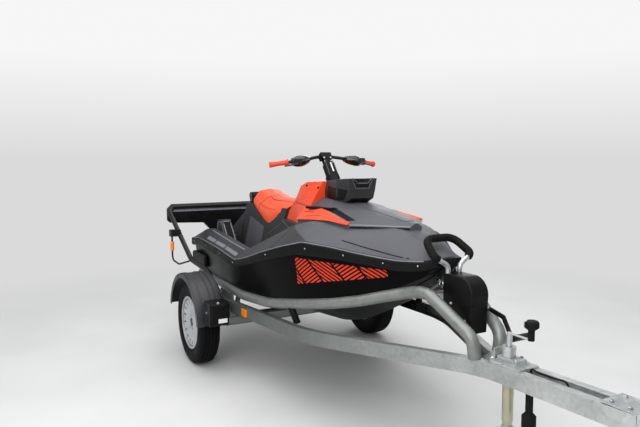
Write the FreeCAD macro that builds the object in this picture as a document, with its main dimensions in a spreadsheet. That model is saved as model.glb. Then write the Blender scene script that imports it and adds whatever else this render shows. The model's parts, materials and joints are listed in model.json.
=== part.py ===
import FreeCAD, Part
import math
import os
import re
import Sketcher

# A two-seat personal watercraft resting in the cradle of its road trailer.
# Row frame: +X to the bow, +Y to port, +Z up, origin on the floor under the middle of the whole outfit.
# Craft pieces are drawn from the stern (X) and the keel (Z), trailer pieces from the wheel centres (X)
# and the floor (Z), and their Placements bring both into the row frame.

V = FreeCAD.Vector
doc = FreeCAD.newDocument("watercraft_on_trailer")
sheet = doc.addObject("Spreadsheet::Sheet", "sizes")
cells = {}
parts = {}


def add_sizes(title, values):
    """Write one titled block of sizes, a row each, and give every value its alias."""
    row = len(cells) + len(add_sizes.titles) + 1
    add_sizes.titles.append(title)
    sheet.set("A%d" % row, title)
    for name, value in values.items():
        row += 1
        sheet.set("A%d" % row, name.replace("_", " "))
        sheet.set("B%d" % row, repr(value))
        sheet.setAlias("B%d" % row, name)
        cells[name] = "B%d" % row


add_sizes.titles = []


def add_stations(title, columns):
    """Write a table of offsets: each column's values become name0, name1 and so on."""
    add_sizes(title, {"%s%d" % (name, i): v for name, column in columns.items() for i, v in enumerate(column)})


add_sizes("Where craft and trailer stand", {
    "axle_x": -915, "stern_overhang": 930, "keel_height": 370, "seat_gap": 0.3, "running_gap": 6,
})

# Offsets of the hull, deck and bumper, measured from the centre plane and the keel line.
add_stations("Stations from stern to nose", {
    "station": [0, 350, 850, 1310, 1480, 1700, 1880, 2050, 2210, 2350, 2470, 2540, 2610, 2668, 2702],
    "keel_z": [0, 0, 0, 0, 4, 18, 58, 118, 192, 262, 327, 366, 418, 466, 508],
    "chine_y": [420, 455, 497, 520, 513, 500, 470, 425, 355, 282, 210, 168, 126, 84, 42],
    "chine_z": [150, 155, 168, 186, 196, 215, 243, 275, 305, 340, 380, 412, 448, 486, 516],
    "rail_y": [452, 487, 539, 570, 572, 554, 517, 459, 382, 300, 222, 183, 142, 100, 58],
    "rail_z": [330, 362, 366, 352, 392, 450, 498, 530, 526, 516, 502, 496, 500, 512, 526],
    "rail_top": [385, 418, 421, 400, 435, 500, 552, 596, 584, 563, 548, 543, 545, 551, 560],
    "shoulder_y": [400, 420, 460, 500, 430, 352, 338, 325, 282, 238, 190, 160, 124, 86, 50],
    "shoulder_z": [414, 490, 470, 454, 540, 645, 676, 664, 653, 623, 592, 574, 564, 561, 565],
    "crown_z": [425, 490, 470, 454, 540, 690, 708, 712, 714, 700, 672, 650, 616, 590, 570],
})

add_sizes("Cockpit", {
    "platform_z": 440, "footwell_z": 285, "cockpit_rear_x": 430, "cockpit_front_x": 1620,
    "cockpit_waist_x": 1310, "cockpit_rear_y": 370, "cockpit_waist_y": 452, "cockpit_front_y": 320,
    "wedge_rear_x": 325, "wedge_toe_x": 620, "wedge_top_z": 572, "wedge_inner_y": 282, "wedge_outer_y": 364,
    "pedestal_top_z": 700, "pedestal_top_y": 118, "pedestal_step_x": 1165, "console_base_z": 630,
    "tail_x": 185,
})

add_sizes("Seat", {
    "seat_rear_x": 532, "seat_tip_x": 1155, "seat_low_x": 940, "seat_low_z": 566, "seat_low_y": 168,
    "seat_top_z": 815, "seat_dip_z": 748, "seat_top_y": 92, "saddle_y": 124,
    "handle_rear_x": 440, "handle_top_z": 782, "handle_y": 120,
})

add_sizes("Console, hood and steering", {
    "shroud_top_z": 905, "shroud_front_x": 1600, "hood_front_x": 2450, "hood_y": 268, "hood_skirt_z": 640,
    "cowl_front_x": 1935, "cowl_top_z": 931, "cowl_base_z": 745,
    "recess_y": 68, "recess_depth": 120, "recess_z": 868,
    "wing_thickness": 12, "fin_thickness": 14,
    "steer_x": 1575, "steer_z": 932, "steer_tilt": 36, "collar_diameter": 92, "collar_height": 26,
    "riser_length": 150, "riser_width": 62, "riser_depth": 46,
    "bar_diameter": 22.2, "bar_x": 1478, "bar_z": 1060, "bar_bend_x": 1532, "bar_bend_y": 205,
    "bar_bend_z": 1038, "bar_end_x": 1462, "bar_end_y": 392, "bar_end_z": 1012,
    "grip_length": 122, "grip_diameter": 34,
})

add_sizes("Jet pump and underside", {
    "tunnel_y": 135, "tunnel_z": 265, "tunnel_corner": 30, "tunnel_depth": 470, "pump_z": 130,
    "pump_diameter": 190, "pump_bore": 158, "pump_rear_x": 150, "venturi_x": 66, "venturi_diameter": 96,
    "venturi_bore": 82, "nozzle_inner": 124, "nozzle_outer": 136, "nozzle_front_x": 90, "nozzle_rear_x": -60,
    "nozzle_bore": 92, "nozzle_tip": 106, "nozzle_pivot_x": 78, "pin_diameter": 12,
    "impeller_diameter": 146, "impeller_hub": 44, "impeller_x": 300, "impeller_length": 70,
    "blade_thickness": 5, "blade_count": 4, "blade_lean": 40,
    "bucket_thickness": 7, "bucket_radius": 112, "bucket_width": 204, "bucket_x": 20,
    "bucket_start": 62, "bucket_sweep": 74,
    "ride_plate_thickness": 8, "ride_plate_rear_x": 20, "deadrise_slope": 0.34,
    "intake_rear_x": 600, "intake_front_x": 960, "intake_y": 80, "intake_depth": 90, "grate_bar": 10,
    "sponson_length": 330, "sponson_height": 92, "sponson_y": 496, "sponson_x": 90, "sponson_z": 196,
})

add_sizes("Wheels, axle and fenders", {
    "wheel_radius": 285, "half_track": 716, "tyre_width": 146, "rim_radius": 182, "rim_width": 128,
    "rim_wall": 4, "slot_count": 16, "slot_circle": 138, "slot_width": 16, "slot_length": 26,
    "hub_radius": 62, "stub_diameter": 36, "bore_clearance": 0.06, "cap_radius": 30,
    "axle_offset": 205, "axle_z": 325, "axle_tube": 70, "axle_half_length": 596, "arm_thickness": 26,
    "fender_radius": 342, "fender_wall": 4, "fender_lip": 308, "fender_width": 186, "fender_back": 25,
    "fender_offset": 6, "stay_width": 40, "stay_height": 80,
    "fender_front_angle": 8, "fender_sweep": 160, "flap_length": 130, "flap_height": 150,
    "flap_z": 345, "flap_width": 130,
})

add_sizes("Trailer frame", {
    "beam_height": 76, "beam_width": 40, "beam_wall": 4, "beam_rear_x": 90, "beam_rear_y": 560,
    "beam_bend_x": 1206, "beam_bend_y": 477, "beam_nose_x": 2070, "beam_nose_y": 45, "beam_tip_x": 2800,
    "beam_rear_z": 420, "beam_nose_z": 486, "beam_bend_radius": 900, "beam_nose_radius": 520,
    "cradle_diameter": 60, "cradle_rise": 30, "cradle_back": 130,
    "cradle_bow_x": 1650, "cradle_bow_y": 150, "cradle_bow_z": 754, "cradle_peak_x": 1735, "cradle_peak_y": 143,
    "cradle_peak_z": 773, "cradle_crest_x": 1795, "cradle_crest_y": 135, "cradle_crest_z": 770,
    "cradle_bend_x": 2040, "cradle_bend_y": 86, "cradle_bend_z": 615, "cradle_foot_y": 74,
    "prop_diameter": 34, "prop_x": 205, "prop_y": 498, "prop_top_x": 330, "prop_top_y": 505, "prop_rise": 138, "saddle_gap": 1.2,
    "stub_x": 965, "stub_low_x": 1001, "stub_low_y": 440, "stub_low_z": 478, "stub_rubber": 40,
    "pad_half_width": 60, "pad_half_length": 60,
    "board_x": -1042, "board_depth": 52, "board_top": 1034, "board_half": 636, "board_end_z": 876,
    "board_middle_z": 800, "board_middle_y": 260, "board_face_z": 968, "board_slope": 34, "channel_depth": 4,
    "hoop_tube": 38, "hoop_corner_y": 640, "hoop_board_z": 1012, "leg_kink_y": 606, "leg_kink_x": -500,
    "leg_kink_z": 640, "leg_front_x": -200, "leg_front_y": 578, "leg_front_z": 600, "leg_foot_x": 30,
    "lamp_width": 150, "lamp_height": 100, "lamp_depth": 26, "lamp_y": 520,
    "marker_length": 74, "marker_diameter": 30, "marker_x": -740, "marker_y": 688, "marker_z": 720,
    "stalk_diameter": 14, "stalk_top_z": 838, "stalk_low_z": 610, "stalk_end_x": -470, "side_marker_x": 470,
})

add_sizes("Winch, bow hoop, jockey wheel and coupler", {
    "cover_rear_x": 1800, "cover_front_x": 2000, "cover_top_z": 870, "cover_toe_x": 1988, "cover_toe_z": 612,
    "cover_heel_z": 708, "cover_half": 54, "cover_round": 100, "cover_wall": 4,
    "stop_diameter": 25, "stop_y": 36, "stop_x": 1812, "sleeve_diameter": 40, "stop_neck_z": 905,
    "stop_waist_x": 1804, "stop_waist_y": 118, "stop_waist_z": 952, "stop_top_x": 1700, "stop_top_z": 1024,
    "winch_x": 1781, "winch_z": 728, "winch_drum": 70, "winch_half_width": 34, "winch_plate": 5,
    "bracket_z": 770, "shaft_x": 1971, "shaft_z": 710, "shaft_diameter": 14, "lever_y": 84,
    "lever_bend_x": 2052, "lever_bend_z": 692, "lever_end_x": 2106, "lever_end_z": 604,
    "lever_bar": 22, "lever_thickness": 8, "winch_grip": 100, "winch_grip_diameter": 30,
    "strap_width": 50, "strap_thickness": 3, "eye_x": 2640,
    "jockey_x": 2172, "jockey_tube": 48, "jockey_wall": 3, "jockey_sleeve_top": 605, "jockey_sleeve_low": 268,
    "jockey_leg": 41, "jockey_wheel": 100, "jockey_wheel_width": 52, "jockey_trail": 42,
    "fork_plate": 5, "fork_gap": 64, "fork_top_z": 236, "crank_arm": 118, "crank_z": 660, "knob_diameter": 62,
    "clamp_rear_x": 2120, "clamp_front_x": 2284, "clamp_half": 40, "clamp_top_z": 590,
    "coupler_rear_x": 2660, "coupler_tip_x": 2952, "coupler_z": 524, "coupler_width": 66,
    "coupler_height": 64, "ball_bore": 51, "ball_x": 2900, "ball_depth": 40,
    "plug_x": 2290, "plug_diameter": 60, "plug_neck": 32, "plug_low_z": 285, "plug_height": 50,
    "clip_x": 2505, "cable_diameter": 8, "cable_lift": 14,
})


def mm(name):
    """The number that a named cell holds."""
    return float(sheet.get(name))


def bound(text):
    """Point each size's name in an expression at its cell."""
    return re.sub(r"[a-z]\w*", lambda word: "sizes." + word[0] if word[0] in cells else word[0], text)


doc.recompute()


def bind(thing, **expressions):
    """Bind properties to expressions; a double underscore in a keyword stands for a dot."""
    for key, text in expressions.items():
        thing.setExpression(key.replace("__", "."), bound(text))


def place_craft(thing, x="0", y="0", z="0"):
    """Stand a piece that is drawn from stern and keel in the row frame."""
    bind(thing, Placement__Base__x="axle_x - stern_overhang + (%s)" % x, Placement__Base__y=y,
         Placement__Base__z="keel_height + (%s)" % z)


def place_trailer(thing, x="0", y="0", z="0"):
    """Stand a piece that is drawn from wheel centres and floor in the row frame."""
    bind(thing, Placement__Base__x="axle_x + (%s)" % x, Placement__Base__y=y, Placement__Base__z=z)


def keep(thing, label):
    """Give a finished sub-part its label, which names its file."""
    thing.Label = label
    parts[label] = thing
    return thing


def new_body(label):
    return keep(doc.addObject("PartDesign::Body", "body_" + label), label)


def origin_plane(body, role):
    return next(feature for feature in body.Origin.OriginFeatures if feature.Role == role)


def outline(body, plane, offset, points, name):
    """A closed sketch of straight sides whose corners are bound to the sheet."""
    sketch = body.newObject("Sketcher::SketchObject", name)
    sketch.AttachmentSupport = [(origin_plane(body, plane), "")]
    sketch.MapMode = "FlatFace"
    bind(sketch, AttachmentOffset__Base__z=offset)
    count = len(points)
    ring = [V(100 * math.cos(2 * math.pi * i / count), 100 * math.sin(2 * math.pi * i / count), 0)
            for i in range(count)]
    sketch.addGeometry([Part.LineSegment(ring[i], ring[(i + 1) % count]) for i in range(count)], False)
    sketch.addConstraint([Sketcher.Constraint("Coincident", i, 2, (i + 1) % count, 1) for i in range(count)])
    for i, (across, up) in enumerate(points):
        for kind, start, text in (("DistanceX", ring[i].x, across), ("DistanceY", ring[i].y, up)):
            number = sketch.addConstraint(Sketcher.Constraint(kind, -1, 1, i, 1, start))
            sketch.setExpression("Constraints[%d]" % number, bound(text))
    return sketch


def both_sides(points):
    """Close a half outline, given from the bottom up on port, with its starboard mirror image."""
    mirror = [("-(%s)" % y, z) for y, z in reversed(points) if y != "0"]
    return points + mirror


def loft(body, sections, name, ruled=False, kind="PartDesign::AdditiveLoft", plane="YZ_Plane"):
    """Loft a body through cross sections, each an offset and its corners."""
    sketches = [outline(body, plane, x, points, "%s_section%d" % (name, i))
                for i, (x, points) in enumerate(sections)]
    feature = body.newObject(kind, name)
    feature.Profile = (sketches[0], [""])
    feature.Sections = [(sketch, [""]) for sketch in sketches[1:]]
    feature.Ruled = ruled
    return feature


def pad(body, plane, offset, points, length, name, symmetric=False, reverse=False):
    feature = body.newObject("PartDesign::Pad", name)
    feature.Profile = outline(body, plane, offset, points, name + "_outline")
    feature.SideType = "Symmetric" if symmetric else "One side"
    feature.Reversed = reverse
    bind(feature, Length=length)
    return feature


def pocket(body, plane, offset, points, length, name, symmetric=False, reverse=False):
    """Cut a straight-sided pocket, and stop if it takes nothing away."""
    doc.recompute()
    before = body.Shape.Volume
    feature = body.newObject("PartDesign::Pocket", name)
    feature.Profile = outline(body, plane, offset, points, name + "_outline")
    feature.SideType = "Symmetric" if symmetric else "One side"
    feature.Reversed = reverse
    bind(feature, Length=length)
    doc.recompute()
    if not before - body.Shape.Volume > 1:
        raise ValueError("pocket %s cuts nothing" % name)
    return feature


def round_edges(body, base, radius, wanted, name):
    """Fillet the edges of a feature that the test picks."""
    doc.recompute()
    picked = ["Edge%d" % (i + 1) for i, edge in enumerate(base.Shape.Edges) if wanted(edge)]
    feature = body.newObject("PartDesign::Fillet", name)
    feature.Base = (base, picked)
    bind(feature, Radius=radius)
    return feature


def lifted(source, name, rise):
    """A copy of a finished solid moved by the seating clearance, to cut its neighbour's seat."""
    copy = doc.addObject("Part::Feature", name)
    doc.recompute()
    copy.Shape = source.Shape.translated(V(*rise))
    return copy


def cut(base, tool, label):
    result = doc.addObject("Part::Cut", "cut_" + label)
    result.Base = base
    result.Tool = tool
    return keep(result, label)


def fused(shapes):
    return shapes[0].multiFuse(shapes[1:]).removeSplitter()


def rod(points, radii, diameter, bore=0):
    """A round bar or tube along a bent route, of straight runs and turned bends."""
    start = points[0]
    direction = (points[1] - points[0]).normalize()
    pieces = []

    def section(centre, along):
        disc = Part.Face(Part.Wire(Part.makeCircle(diameter / 2, centre, along)))
        return disc.cut(Part.Face(Part.Wire(Part.makeCircle(bore / 2, centre, along)))) if bore else disc

    for corner, after, radius in zip(points[1:], points[2:], radii):
        leaving = (after - corner).normalize()
        turn = direction.getAngle(leaving)
        reach = radius * math.tan(turn / 2)
        first = corner - direction * reach
        pieces.append(section(start, direction).extrude(first - start))
        axis = direction.cross(leaving).normalize()
        centre = first + axis.cross(direction).normalize() * radius
        pieces.append(section(first, direction).revolve(centre, axis, math.degrees(turn)))
        start = corner + leaving * reach
        direction = leaving
    pieces.append(section(start, direction).extrude(points[-1] - start))
    return fused(pieces)


def mirrored(shape):
    return shape.mirror(V(0, 0, 0), V(0, 1, 0))


def feature(shape, label):
    """A sub-part whose shape is made directly from the sheet's sizes."""
    thing = doc.addObject("Part::Feature", "shape_" + label)
    thing.Shape = shape
    return keep(thing, label)



STATIONS = range(15)


def hoop_sections(corners):
    """One symmetric section at each station, from corners whose texts hold a # for the station's number."""
    return [("station%d" % i, both_sides([(y.replace("#", str(i)), z.replace("#", str(i))) for y, z in corners]))
            for i in STATIONS]


# Hull: closed V bottom with hard chines, from the transom to the raised bow. The footwells, the pump
# tunnel and the water intake are cut out of it, and it nests in the cradle tubes.
hull_body = doc.addObject("PartDesign::Body", "hull_body")
loft(hull_body, hoop_sections([("0", "keel_z#"), ("chine_y#", "chine_z#"), ("rail_y# - 14", "rail_z#")]),
     "hull_skin", ruled=True)
cockpit = [
    ("cockpit_rear_x", "cockpit_rear_y"), ("cockpit_waist_x", "cockpit_waist_y"),
    ("cockpit_front_x", "cockpit_front_y"), ("cockpit_front_x", "-cockpit_front_y"),
    ("cockpit_waist_x", "-cockpit_waist_y"), ("cockpit_rear_x", "-cockpit_rear_y"),
]
pocket(hull_body, "XY_Plane", "footwell_z", cockpit, "400", "footwell", reverse=True)
tunnel = both_sides([("0", "-10"), ("tunnel_y", "-10"), ("tunnel_y", "tunnel_z - tunnel_corner"),
                     ("tunnel_y - tunnel_corner", "tunnel_z"), ("0", "tunnel_z")])
pocket(hull_body, "YZ_Plane", "0", tunnel, "tunnel_depth", "pump_tunnel", reverse=True)
intake = [("intake_rear_x", "-intake_y"), ("intake_front_x", "-intake_y"),
          ("intake_front_x", "intake_y"), ("intake_rear_x", "intake_y")]
pocket(hull_body, "XY_Plane", "0", intake, "intake_depth", "water_intake", reverse=True)
place_craft(hull_body)

# Deck: gunwales round the footwells, boarding platform behind, sloped shoulders and bow in front.
deck_body = new_body("deck")
loft(deck_body, hoop_sections([
    ("0", "rail_z# + seat_gap"), ("rail_y#", "rail_z# + seat_gap"), ("rail_y#", "rail_top#"),
    ("shoulder_y#", "shoulder_z#"), ("0", "crown_z#"),
]), "deck_skin", ruled=True)
pocket(deck_body, "XY_Plane", "footwell_z", cockpit, "600", "footwell", reverse=True)
platform = [("-5", "-cockpit_rear_y"), ("cockpit_rear_x + 5", "-cockpit_rear_y"),
            ("cockpit_rear_x + 5", "cockpit_rear_y"), ("-5", "cockpit_rear_y")]
pocket(deck_body, "XY_Plane", "platform_z", platform, "200", "boarding_platform", reverse=True)
place_craft(deck_body)

# Bumper: a band round the joint of hull and deck, made as an outer skin less the two it covers.
bumper_outer = doc.addObject("PartDesign::Body", "bumper_outer")
loft(bumper_outer, [("station%d + %s" % (i, "16" if i == 14 else "0"), section)
                    for i, (x, section) in enumerate(hoop_sections([
                        ("0", "rail_z# - 6"), ("rail_y# + 12", "rail_z# - 6"), ("rail_y# + 18", "rail_z# + 8"),
                        ("rail_y# + 18", "rail_top# - 8"), ("rail_y# + 8", "rail_top# + 4"),
                        ("0", "rail_top# + 4"),
                    ]))], "bumper_skin", ruled=True)
place_craft(bumper_outer)
bumper_core = doc.addObject("PartDesign::Body", "bumper_core")
loft(bumper_core, [("station%d + %s" % (i, {0: "-1", 14: "seat_gap"}.get(i, "0")), section)
                   for i, (x, section) in enumerate(hoop_sections([
                       ("0", "rail_z# - 20"), ("rail_y# + seat_gap", "rail_z# - 20"),
                       ("rail_y# + seat_gap", "rail_top# + 20"), ("0", "rail_top# + 20"),
                   ]))], "core_skin", ruled=True)
place_craft(bumper_core)
cut(bumper_outer, bumper_core, "bumper_rail")

# Foot wedges: chocks at the rear of both footwells that stand on the platform's front edge.
wedges = new_body("foot_wedges")
wedge = [
    ("wedge_rear_x", "platform_z + seat_gap"), ("wedge_rear_x + 35", "wedge_top_z - 12"),
    ("cockpit_rear_x + 20", "wedge_top_z"), ("wedge_toe_x - 25", "footwell_z + 115"),
    ("wedge_toe_x", "footwell_z + seat_gap"), ("cockpit_rear_x + seat_gap", "footwell_z + seat_gap"),
    ("cockpit_rear_x + seat_gap", "platform_z + seat_gap"),
]
pad(wedges, "XZ_Plane", "wedge_inner_y", wedge, "wedge_outer_y - wedge_inner_y", "starboard_wedge")
pad(wedges, "XZ_Plane", "-wedge_outer_y", wedge, "wedge_outer_y - wedge_inner_y", "port_wedge")
place_craft(wedges)

# Seat: a crowned saddle whose sides drop to a point, seated in a matching notch of the pedestal.
def seat_sections(room):
    """The cushion's cross sections, each grown on every side by the room that its notch needs."""
    rows = [
        ("seat_rear_x", "128", "pedestal_top_z + seat_gap", "124", "738", "seat_top_y - 26", "seat_top_z - 22"),
        ("seat_rear_x + 60", "140", "pedestal_top_z - 22", "138", "748", "seat_top_y - 4", "seat_top_z - 9"),
        ("seat_rear_x + 190", "156", "seat_low_z + 64", "152", "715", "seat_top_y", "seat_dip_z + 22"),
        ("seat_low_x", "seat_low_y", "seat_low_z", "156", "692", "seat_top_y", "seat_dip_z"),
        ("seat_low_x + 130", "150", "seat_low_z + 92", "140", "706", "seat_top_y - 8", "seat_dip_z"),
        ("seat_tip_x", "110", "pedestal_top_z + 6", "100", "724", "seat_top_y - 40", "seat_dip_z - 8"),
    ]
    ends = {0: " - (%s)" % room, len(rows) - 1: " + (%s)" % room}
    return [(x + ends.get(i, ""), both_sides([
        ("0", low + " - (%s)" % room), (low_y + " + (%s)" % room, low + " - (%s)" % room),
        (side_y + " + (%s)" % room, side), (top_y + " + (%s)" % room, top), ("0", top + " + 9"),
    ])) for i, (x, low_y, low, side_y, side, top_y, top) in enumerate(rows)]


seat = new_body("seat")
loft(seat, seat_sections("0"), "seat_cushion", ruled=True)
place_craft(seat)
seat_notch = doc.addObject("PartDesign::Body", "seat_notch")
loft(seat_notch, seat_sections("seat_gap * 3"), "notch_room", ruled=True)
place_craft(seat_notch)

# Pedestal: the fixed tunnel between the footwells, with a tail down to the platform.
pedestal_body = doc.addObject("PartDesign::Body", "pedestal_body")
loft(pedestal_body, [(x, both_sides([("0", low), (low_y, low), (top_y, top), ("0", top)]))
                     for x, low_y, low, top_y, top in [
    ("cockpit_rear_x + seat_gap", "205", "footwell_z + seat_gap", "136", "pedestal_top_z"),
    ("seat_low_x", "240", "footwell_z + seat_gap", "138", "pedestal_top_z"),
    ("pedestal_step_x", "262", "footwell_z + seat_gap", "132", "pedestal_top_z"),
]], "seat_tunnel", ruled=True)
loft(pedestal_body, [(x, both_sides([("0", low), (low_y, low), (top_y, top), ("0", top)]))
                     for x, low_y, low, top_y, top in [
    ("pedestal_step_x - 1", "262", "footwell_z + seat_gap", "168", "console_base_z"),
    ("cockpit_front_x - seat_gap", "300", "footwell_z + seat_gap", "262", "console_base_z"),
]], "console_tunnel", ruled=True)
loft(pedestal_body, [(x, both_sides([("0", low), (low_y, low), (top_y, top), ("0", top)]))
                     for x, low_y, low, top_y, top in [
    ("tail_x", "196", "platform_z + seat_gap", "186", "platform_z + 16"),
    ("cockpit_rear_x + 1", "196", "platform_z + seat_gap", "130", "pedestal_top_z - 44"),
]], "tail", ruled=True)
place_craft(pedestal_body)
cut(pedestal_body, seat_notch, "pedestal")

# Grab handle and seat pan behind the cushion.
handle = new_body("seat_handle")
pad(handle, "XZ_Plane", "0", [
    ("handle_rear_x + 22", "pedestal_top_z + seat_gap"), ("handle_rear_x", "handle_top_z - 26"),
    ("handle_rear_x + 14", "handle_top_z"), ("seat_rear_x - 26", "handle_top_z + 4"),
    ("seat_rear_x - seat_gap", "handle_top_z - 16"), ("seat_rear_x - seat_gap", "pedestal_top_z + seat_gap"),
], "handle_y * 2", "grab_handle", symmetric=True)
place_craft(handle)

# Knee shroud: the tall orange console between the rider's knees.
shroud = new_body("knee_shroud")
loft(shroud, [(x, both_sides([("0", "console_base_z + seat_gap"), (low_y, "console_base_z + seat_gap"),
                              (side_y, side), (top_y, top), ("0", crown)]))
              for x, low_y, side_y, side, top_y, top, crown in [
    ("pedestal_step_x + 2", "132", "112", "692", "70", "742", "750"),
    ("1330", "160", "146", "765", "104", "shroud_top_z - 38", "shroud_top_z - 28"),
    ("1430", "190", "154", "775", "112", "shroud_top_z - 10", "shroud_top_z"),
    ("shroud_front_x", "240", "168", "765", "84", "shroud_top_z", "shroud_top_z + 2"),
]], "shroud_shell", ruled=True)
place_craft(shroud)

# Hood: faceted cover in front of the shroud, seated on the deck.
HOOD = [
    ("shroud_front_x + seat_gap", "hood_y", "672", "200", "736", "85", "803", "803"),
    ("1800", "hood_y", "687", "195", "744", "100", "790", "795"),
    ("2000", "hood_y - 6", "698", "174", "734", "92", "772", "778"),
    ("2180", "hood_y - 16", "690", "142", "725", "80", "746", "752"),
    ("hood_front_x", "34", "692", "26", "700", "12", "708", "710"),
]
hood_body = doc.addObject("PartDesign::Body", "hood_body")
loft(hood_body, [(x, both_sides([("0", "hood_skirt_z"), (edge_y, "hood_skirt_z"), (edge_y, edge),
                                 (side_y, side), (top_y, top), ("0", crown)]))
                 for x, edge_y, edge, side_y, side, top_y, top, crown in HOOD], "hood_shell", ruled=True)
place_craft(hood_body)
hood = cut(hood_body, lifted(deck_body, "hood_seat", (0, 0, mm("seat_gap"))), "hood")

# Wings: the shroud's orange side panels, laid on the hood's lower flanks.
wings = new_body("hood_wings")
for side, sign in (("starboard", "-"), ("port", "")):
    loft(wings, [(x, [
        ("%s(%s + seat_gap)" % (sign, edge_y), "%s + seat_gap" % edge),
        ("%s(%s + wing_thickness)" % (sign, edge_y), "%s + seat_gap" % edge),
        ("%s(%s + wing_thickness)" % (sign, top_y), "%s + wing_thickness * 0.7" % top),
        ("%s(%s + seat_gap)" % (sign, top_y), "%s + seat_gap" % top),
    ]) for x, edge_y, edge, top_y, top in [
        HOOD[0][:3] + HOOD[0][3:5], HOOD[1][:3] + HOOD[1][3:5],
        ("2000", "hood_y - 6", "698", "208", "720"),
        ("2180", "hood_y - 16", "690", "236", "696"),
    ]], side + "_wing", ruled=True)
place_craft(wings)

# Fins: dark winglets over the wings.
fins_body = doc.addObject("PartDesign::Body", "fins_body")
for side, sign in (("starboard", "-"), ("port", "")):
    pad(fins_body, "XY_Plane", "742", [
        (x, sign + y) for x, y in (("1652", "(238)"), ("1880", "(190)"), ("1905", "(120)"), ("1690", "(150)"))
    ], "fin_thickness", side + "_fin")
place_craft(fins_body)
fin_seat = lifted(hood, "fin_seat", (0, 0, mm("seat_gap")))
wing_room = wings.Shape.fuse(wings.Shape.translated(V(0, 0, mm("seat_gap"))))
fin_seat.Shape = Part.makeCompound([fin_seat.Shape, wing_room])
cut(fins_body, fin_seat, "hood_fins")

# Cowl: instrument pod on the hood, with an open tray behind its front lip.
cowl_body = doc.addObject("PartDesign::Body", "cowl_body")
loft(cowl_body, [(x, both_sides([("0", low), (low_y, low), (side_y, side), (top_y, top), ("0", top + " + 2")]))
                 for x, low_y, low, side_y, side, top_y, top in [
    ("shroud_front_x + seat_gap", "62", "cowl_base_z", "72", "840", "56", "cowl_top_z - 23"),
    ("1790", "84", "cowl_base_z", "98", "850", "96", "cowl_top_z - 6"),
    ("cowl_front_x", "78", "cowl_base_z + 68", "90", "862", "102", "cowl_top_z"),
]], "cowl_shell", ruled=True)
tray = [("cowl_front_x - 22 - recess_depth", "-recess_y"), ("cowl_front_x - 22", "-recess_y - 10"),
        ("cowl_front_x - 22", "recess_y + 10"), ("cowl_front_x - 22 - recess_depth", "recess_y")]
pocket(cowl_body, "XY_Plane", "recess_z", tray, "100", "tray", reverse=True)
lip = [("cowl_front_x - 23", "-recess_y"), ("cowl_front_x + 2", "-recess_y"), ("cowl_front_x + 2", "recess_y"),
       ("cowl_front_x - 23", "recess_y")]
pocket(cowl_body, "XY_Plane", "recess_z + 34", lip, "60", "lip", reverse=True)
place_craft(cowl_body)
cut(cowl_body, lifted(hood, "cowl_seat", (0, 0, mm("seat_gap"))), "snout_cowl")


def craft_point(x, y, z):
    """A point given from stern and keel, in the row frame."""
    return V(mm("axle_x") - mm("stern_overhang") + x, y, mm("keel_height") + z)


def trailer_point(x, y, z):
    """A point given from wheel centres and floor, in the row frame."""
    return V(mm("axle_x") + x, y, z)


def box(x0, x1, y0, y1, z0, z1):
    return Part.makeBox(x1 - x0, y1 - y0, z1 - z0, V(x0, y0, z0))


def in_craft(shape):
    return shape.translated(craft_point(0, 0, 0))


def in_trailer(shape):
    return shape.translated(trailer_point(0, 0, 0))


GAP = mm("seat_gap")

# Steering: a collar on the console carries the leaning riser, which clamps the handlebar.
lean = math.radians(mm("steer_tilt"))
STEER_AXIS = V(-math.sin(lean), 0, math.cos(lean))
steer_foot = V(mm("steer_x"), 0, mm("steer_z"))
collar_radius = mm("collar_diameter") / 2
pin_radius = mm("collar_diameter") / 6
collar = Part.makeCylinder(collar_radius, 70, steer_foot - STEER_AXIS * 70, STEER_AXIS)
collar = collar.cut(Part.makeCylinder(pin_radius + mm("bore_clearance"), 22, steer_foot - STEER_AXIS * 21, STEER_AXIS))
for neighbour, rise in ((shroud, V(0, 0, GAP)), (parts["snout_cowl"], V(-GAP, 0, GAP)), (hood, V(-GAP, 0, GAP))):
    doc.recompute()
    collar = collar.cut(neighbour.Shape.translated(rise - craft_point(0, 0, 0)))
collar = max(collar.Solids, key=lambda solid: solid.Volume)
feature(in_craft(collar), "steering_collar")


def along_riser(length, width, depth, start, offset=0):
    """A block about the steering axis, given its size and its start along the axis."""
    block = Part.makeBox(depth, width, length, V(-depth / 2 + offset, -width / 2, start))
    block.rotate(V(0, 0, 0), V(0, 1, 0), -mm("steer_tilt"))
    return block.translated(steer_foot)


bar_middle = V(mm("bar_x"), 0, mm("bar_z"))
riser_start = mm("running_gap")
bar_bore = Part.makeCylinder(mm("bar_diameter") / 2 + GAP, 200, bar_middle - V(0, 100, 0), V(0, 1, 0))
riser = fused([
    Part.makeCylinder(pin_radius, 22 + riser_start, steer_foot - STEER_AXIS * 20, STEER_AXIS),
    Part.makeCylinder(collar_radius * 0.8, 14, steer_foot + STEER_AXIS * riser_start, STEER_AXIS),
    along_riser(mm("riser_length") * 0.55, mm("riser_width"), mm("riser_depth"), riser_start + 8),
    along_riser(mm("riser_length") * 0.9, mm("riser_width") - 12, mm("riser_depth") - 10, riser_start + 8),
    along_riser(44, mm("riser_width") + 16, 44, mm("riser_length") - 12),
]).cut(bar_bore)
feature(in_craft(riser), "handlebar_riser")

bar_end = V(mm("bar_end_x"), mm("bar_end_y"), mm("bar_end_z"))
bar_bend = V(mm("bar_bend_x"), mm("bar_bend_y"), mm("bar_bend_z"))
centre_half = V(mm("bar_x"), 60, mm("bar_z"))
across = [bar_end, bar_bend, centre_half]
bar_route = across + [V(p.x, -p.y, p.z) for p in reversed(across)]
feature(in_craft(rod(bar_route, [60, 60, 60, 60], mm("bar_diameter"), mm("bar_diameter") - 4)), "handlebar")

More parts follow.
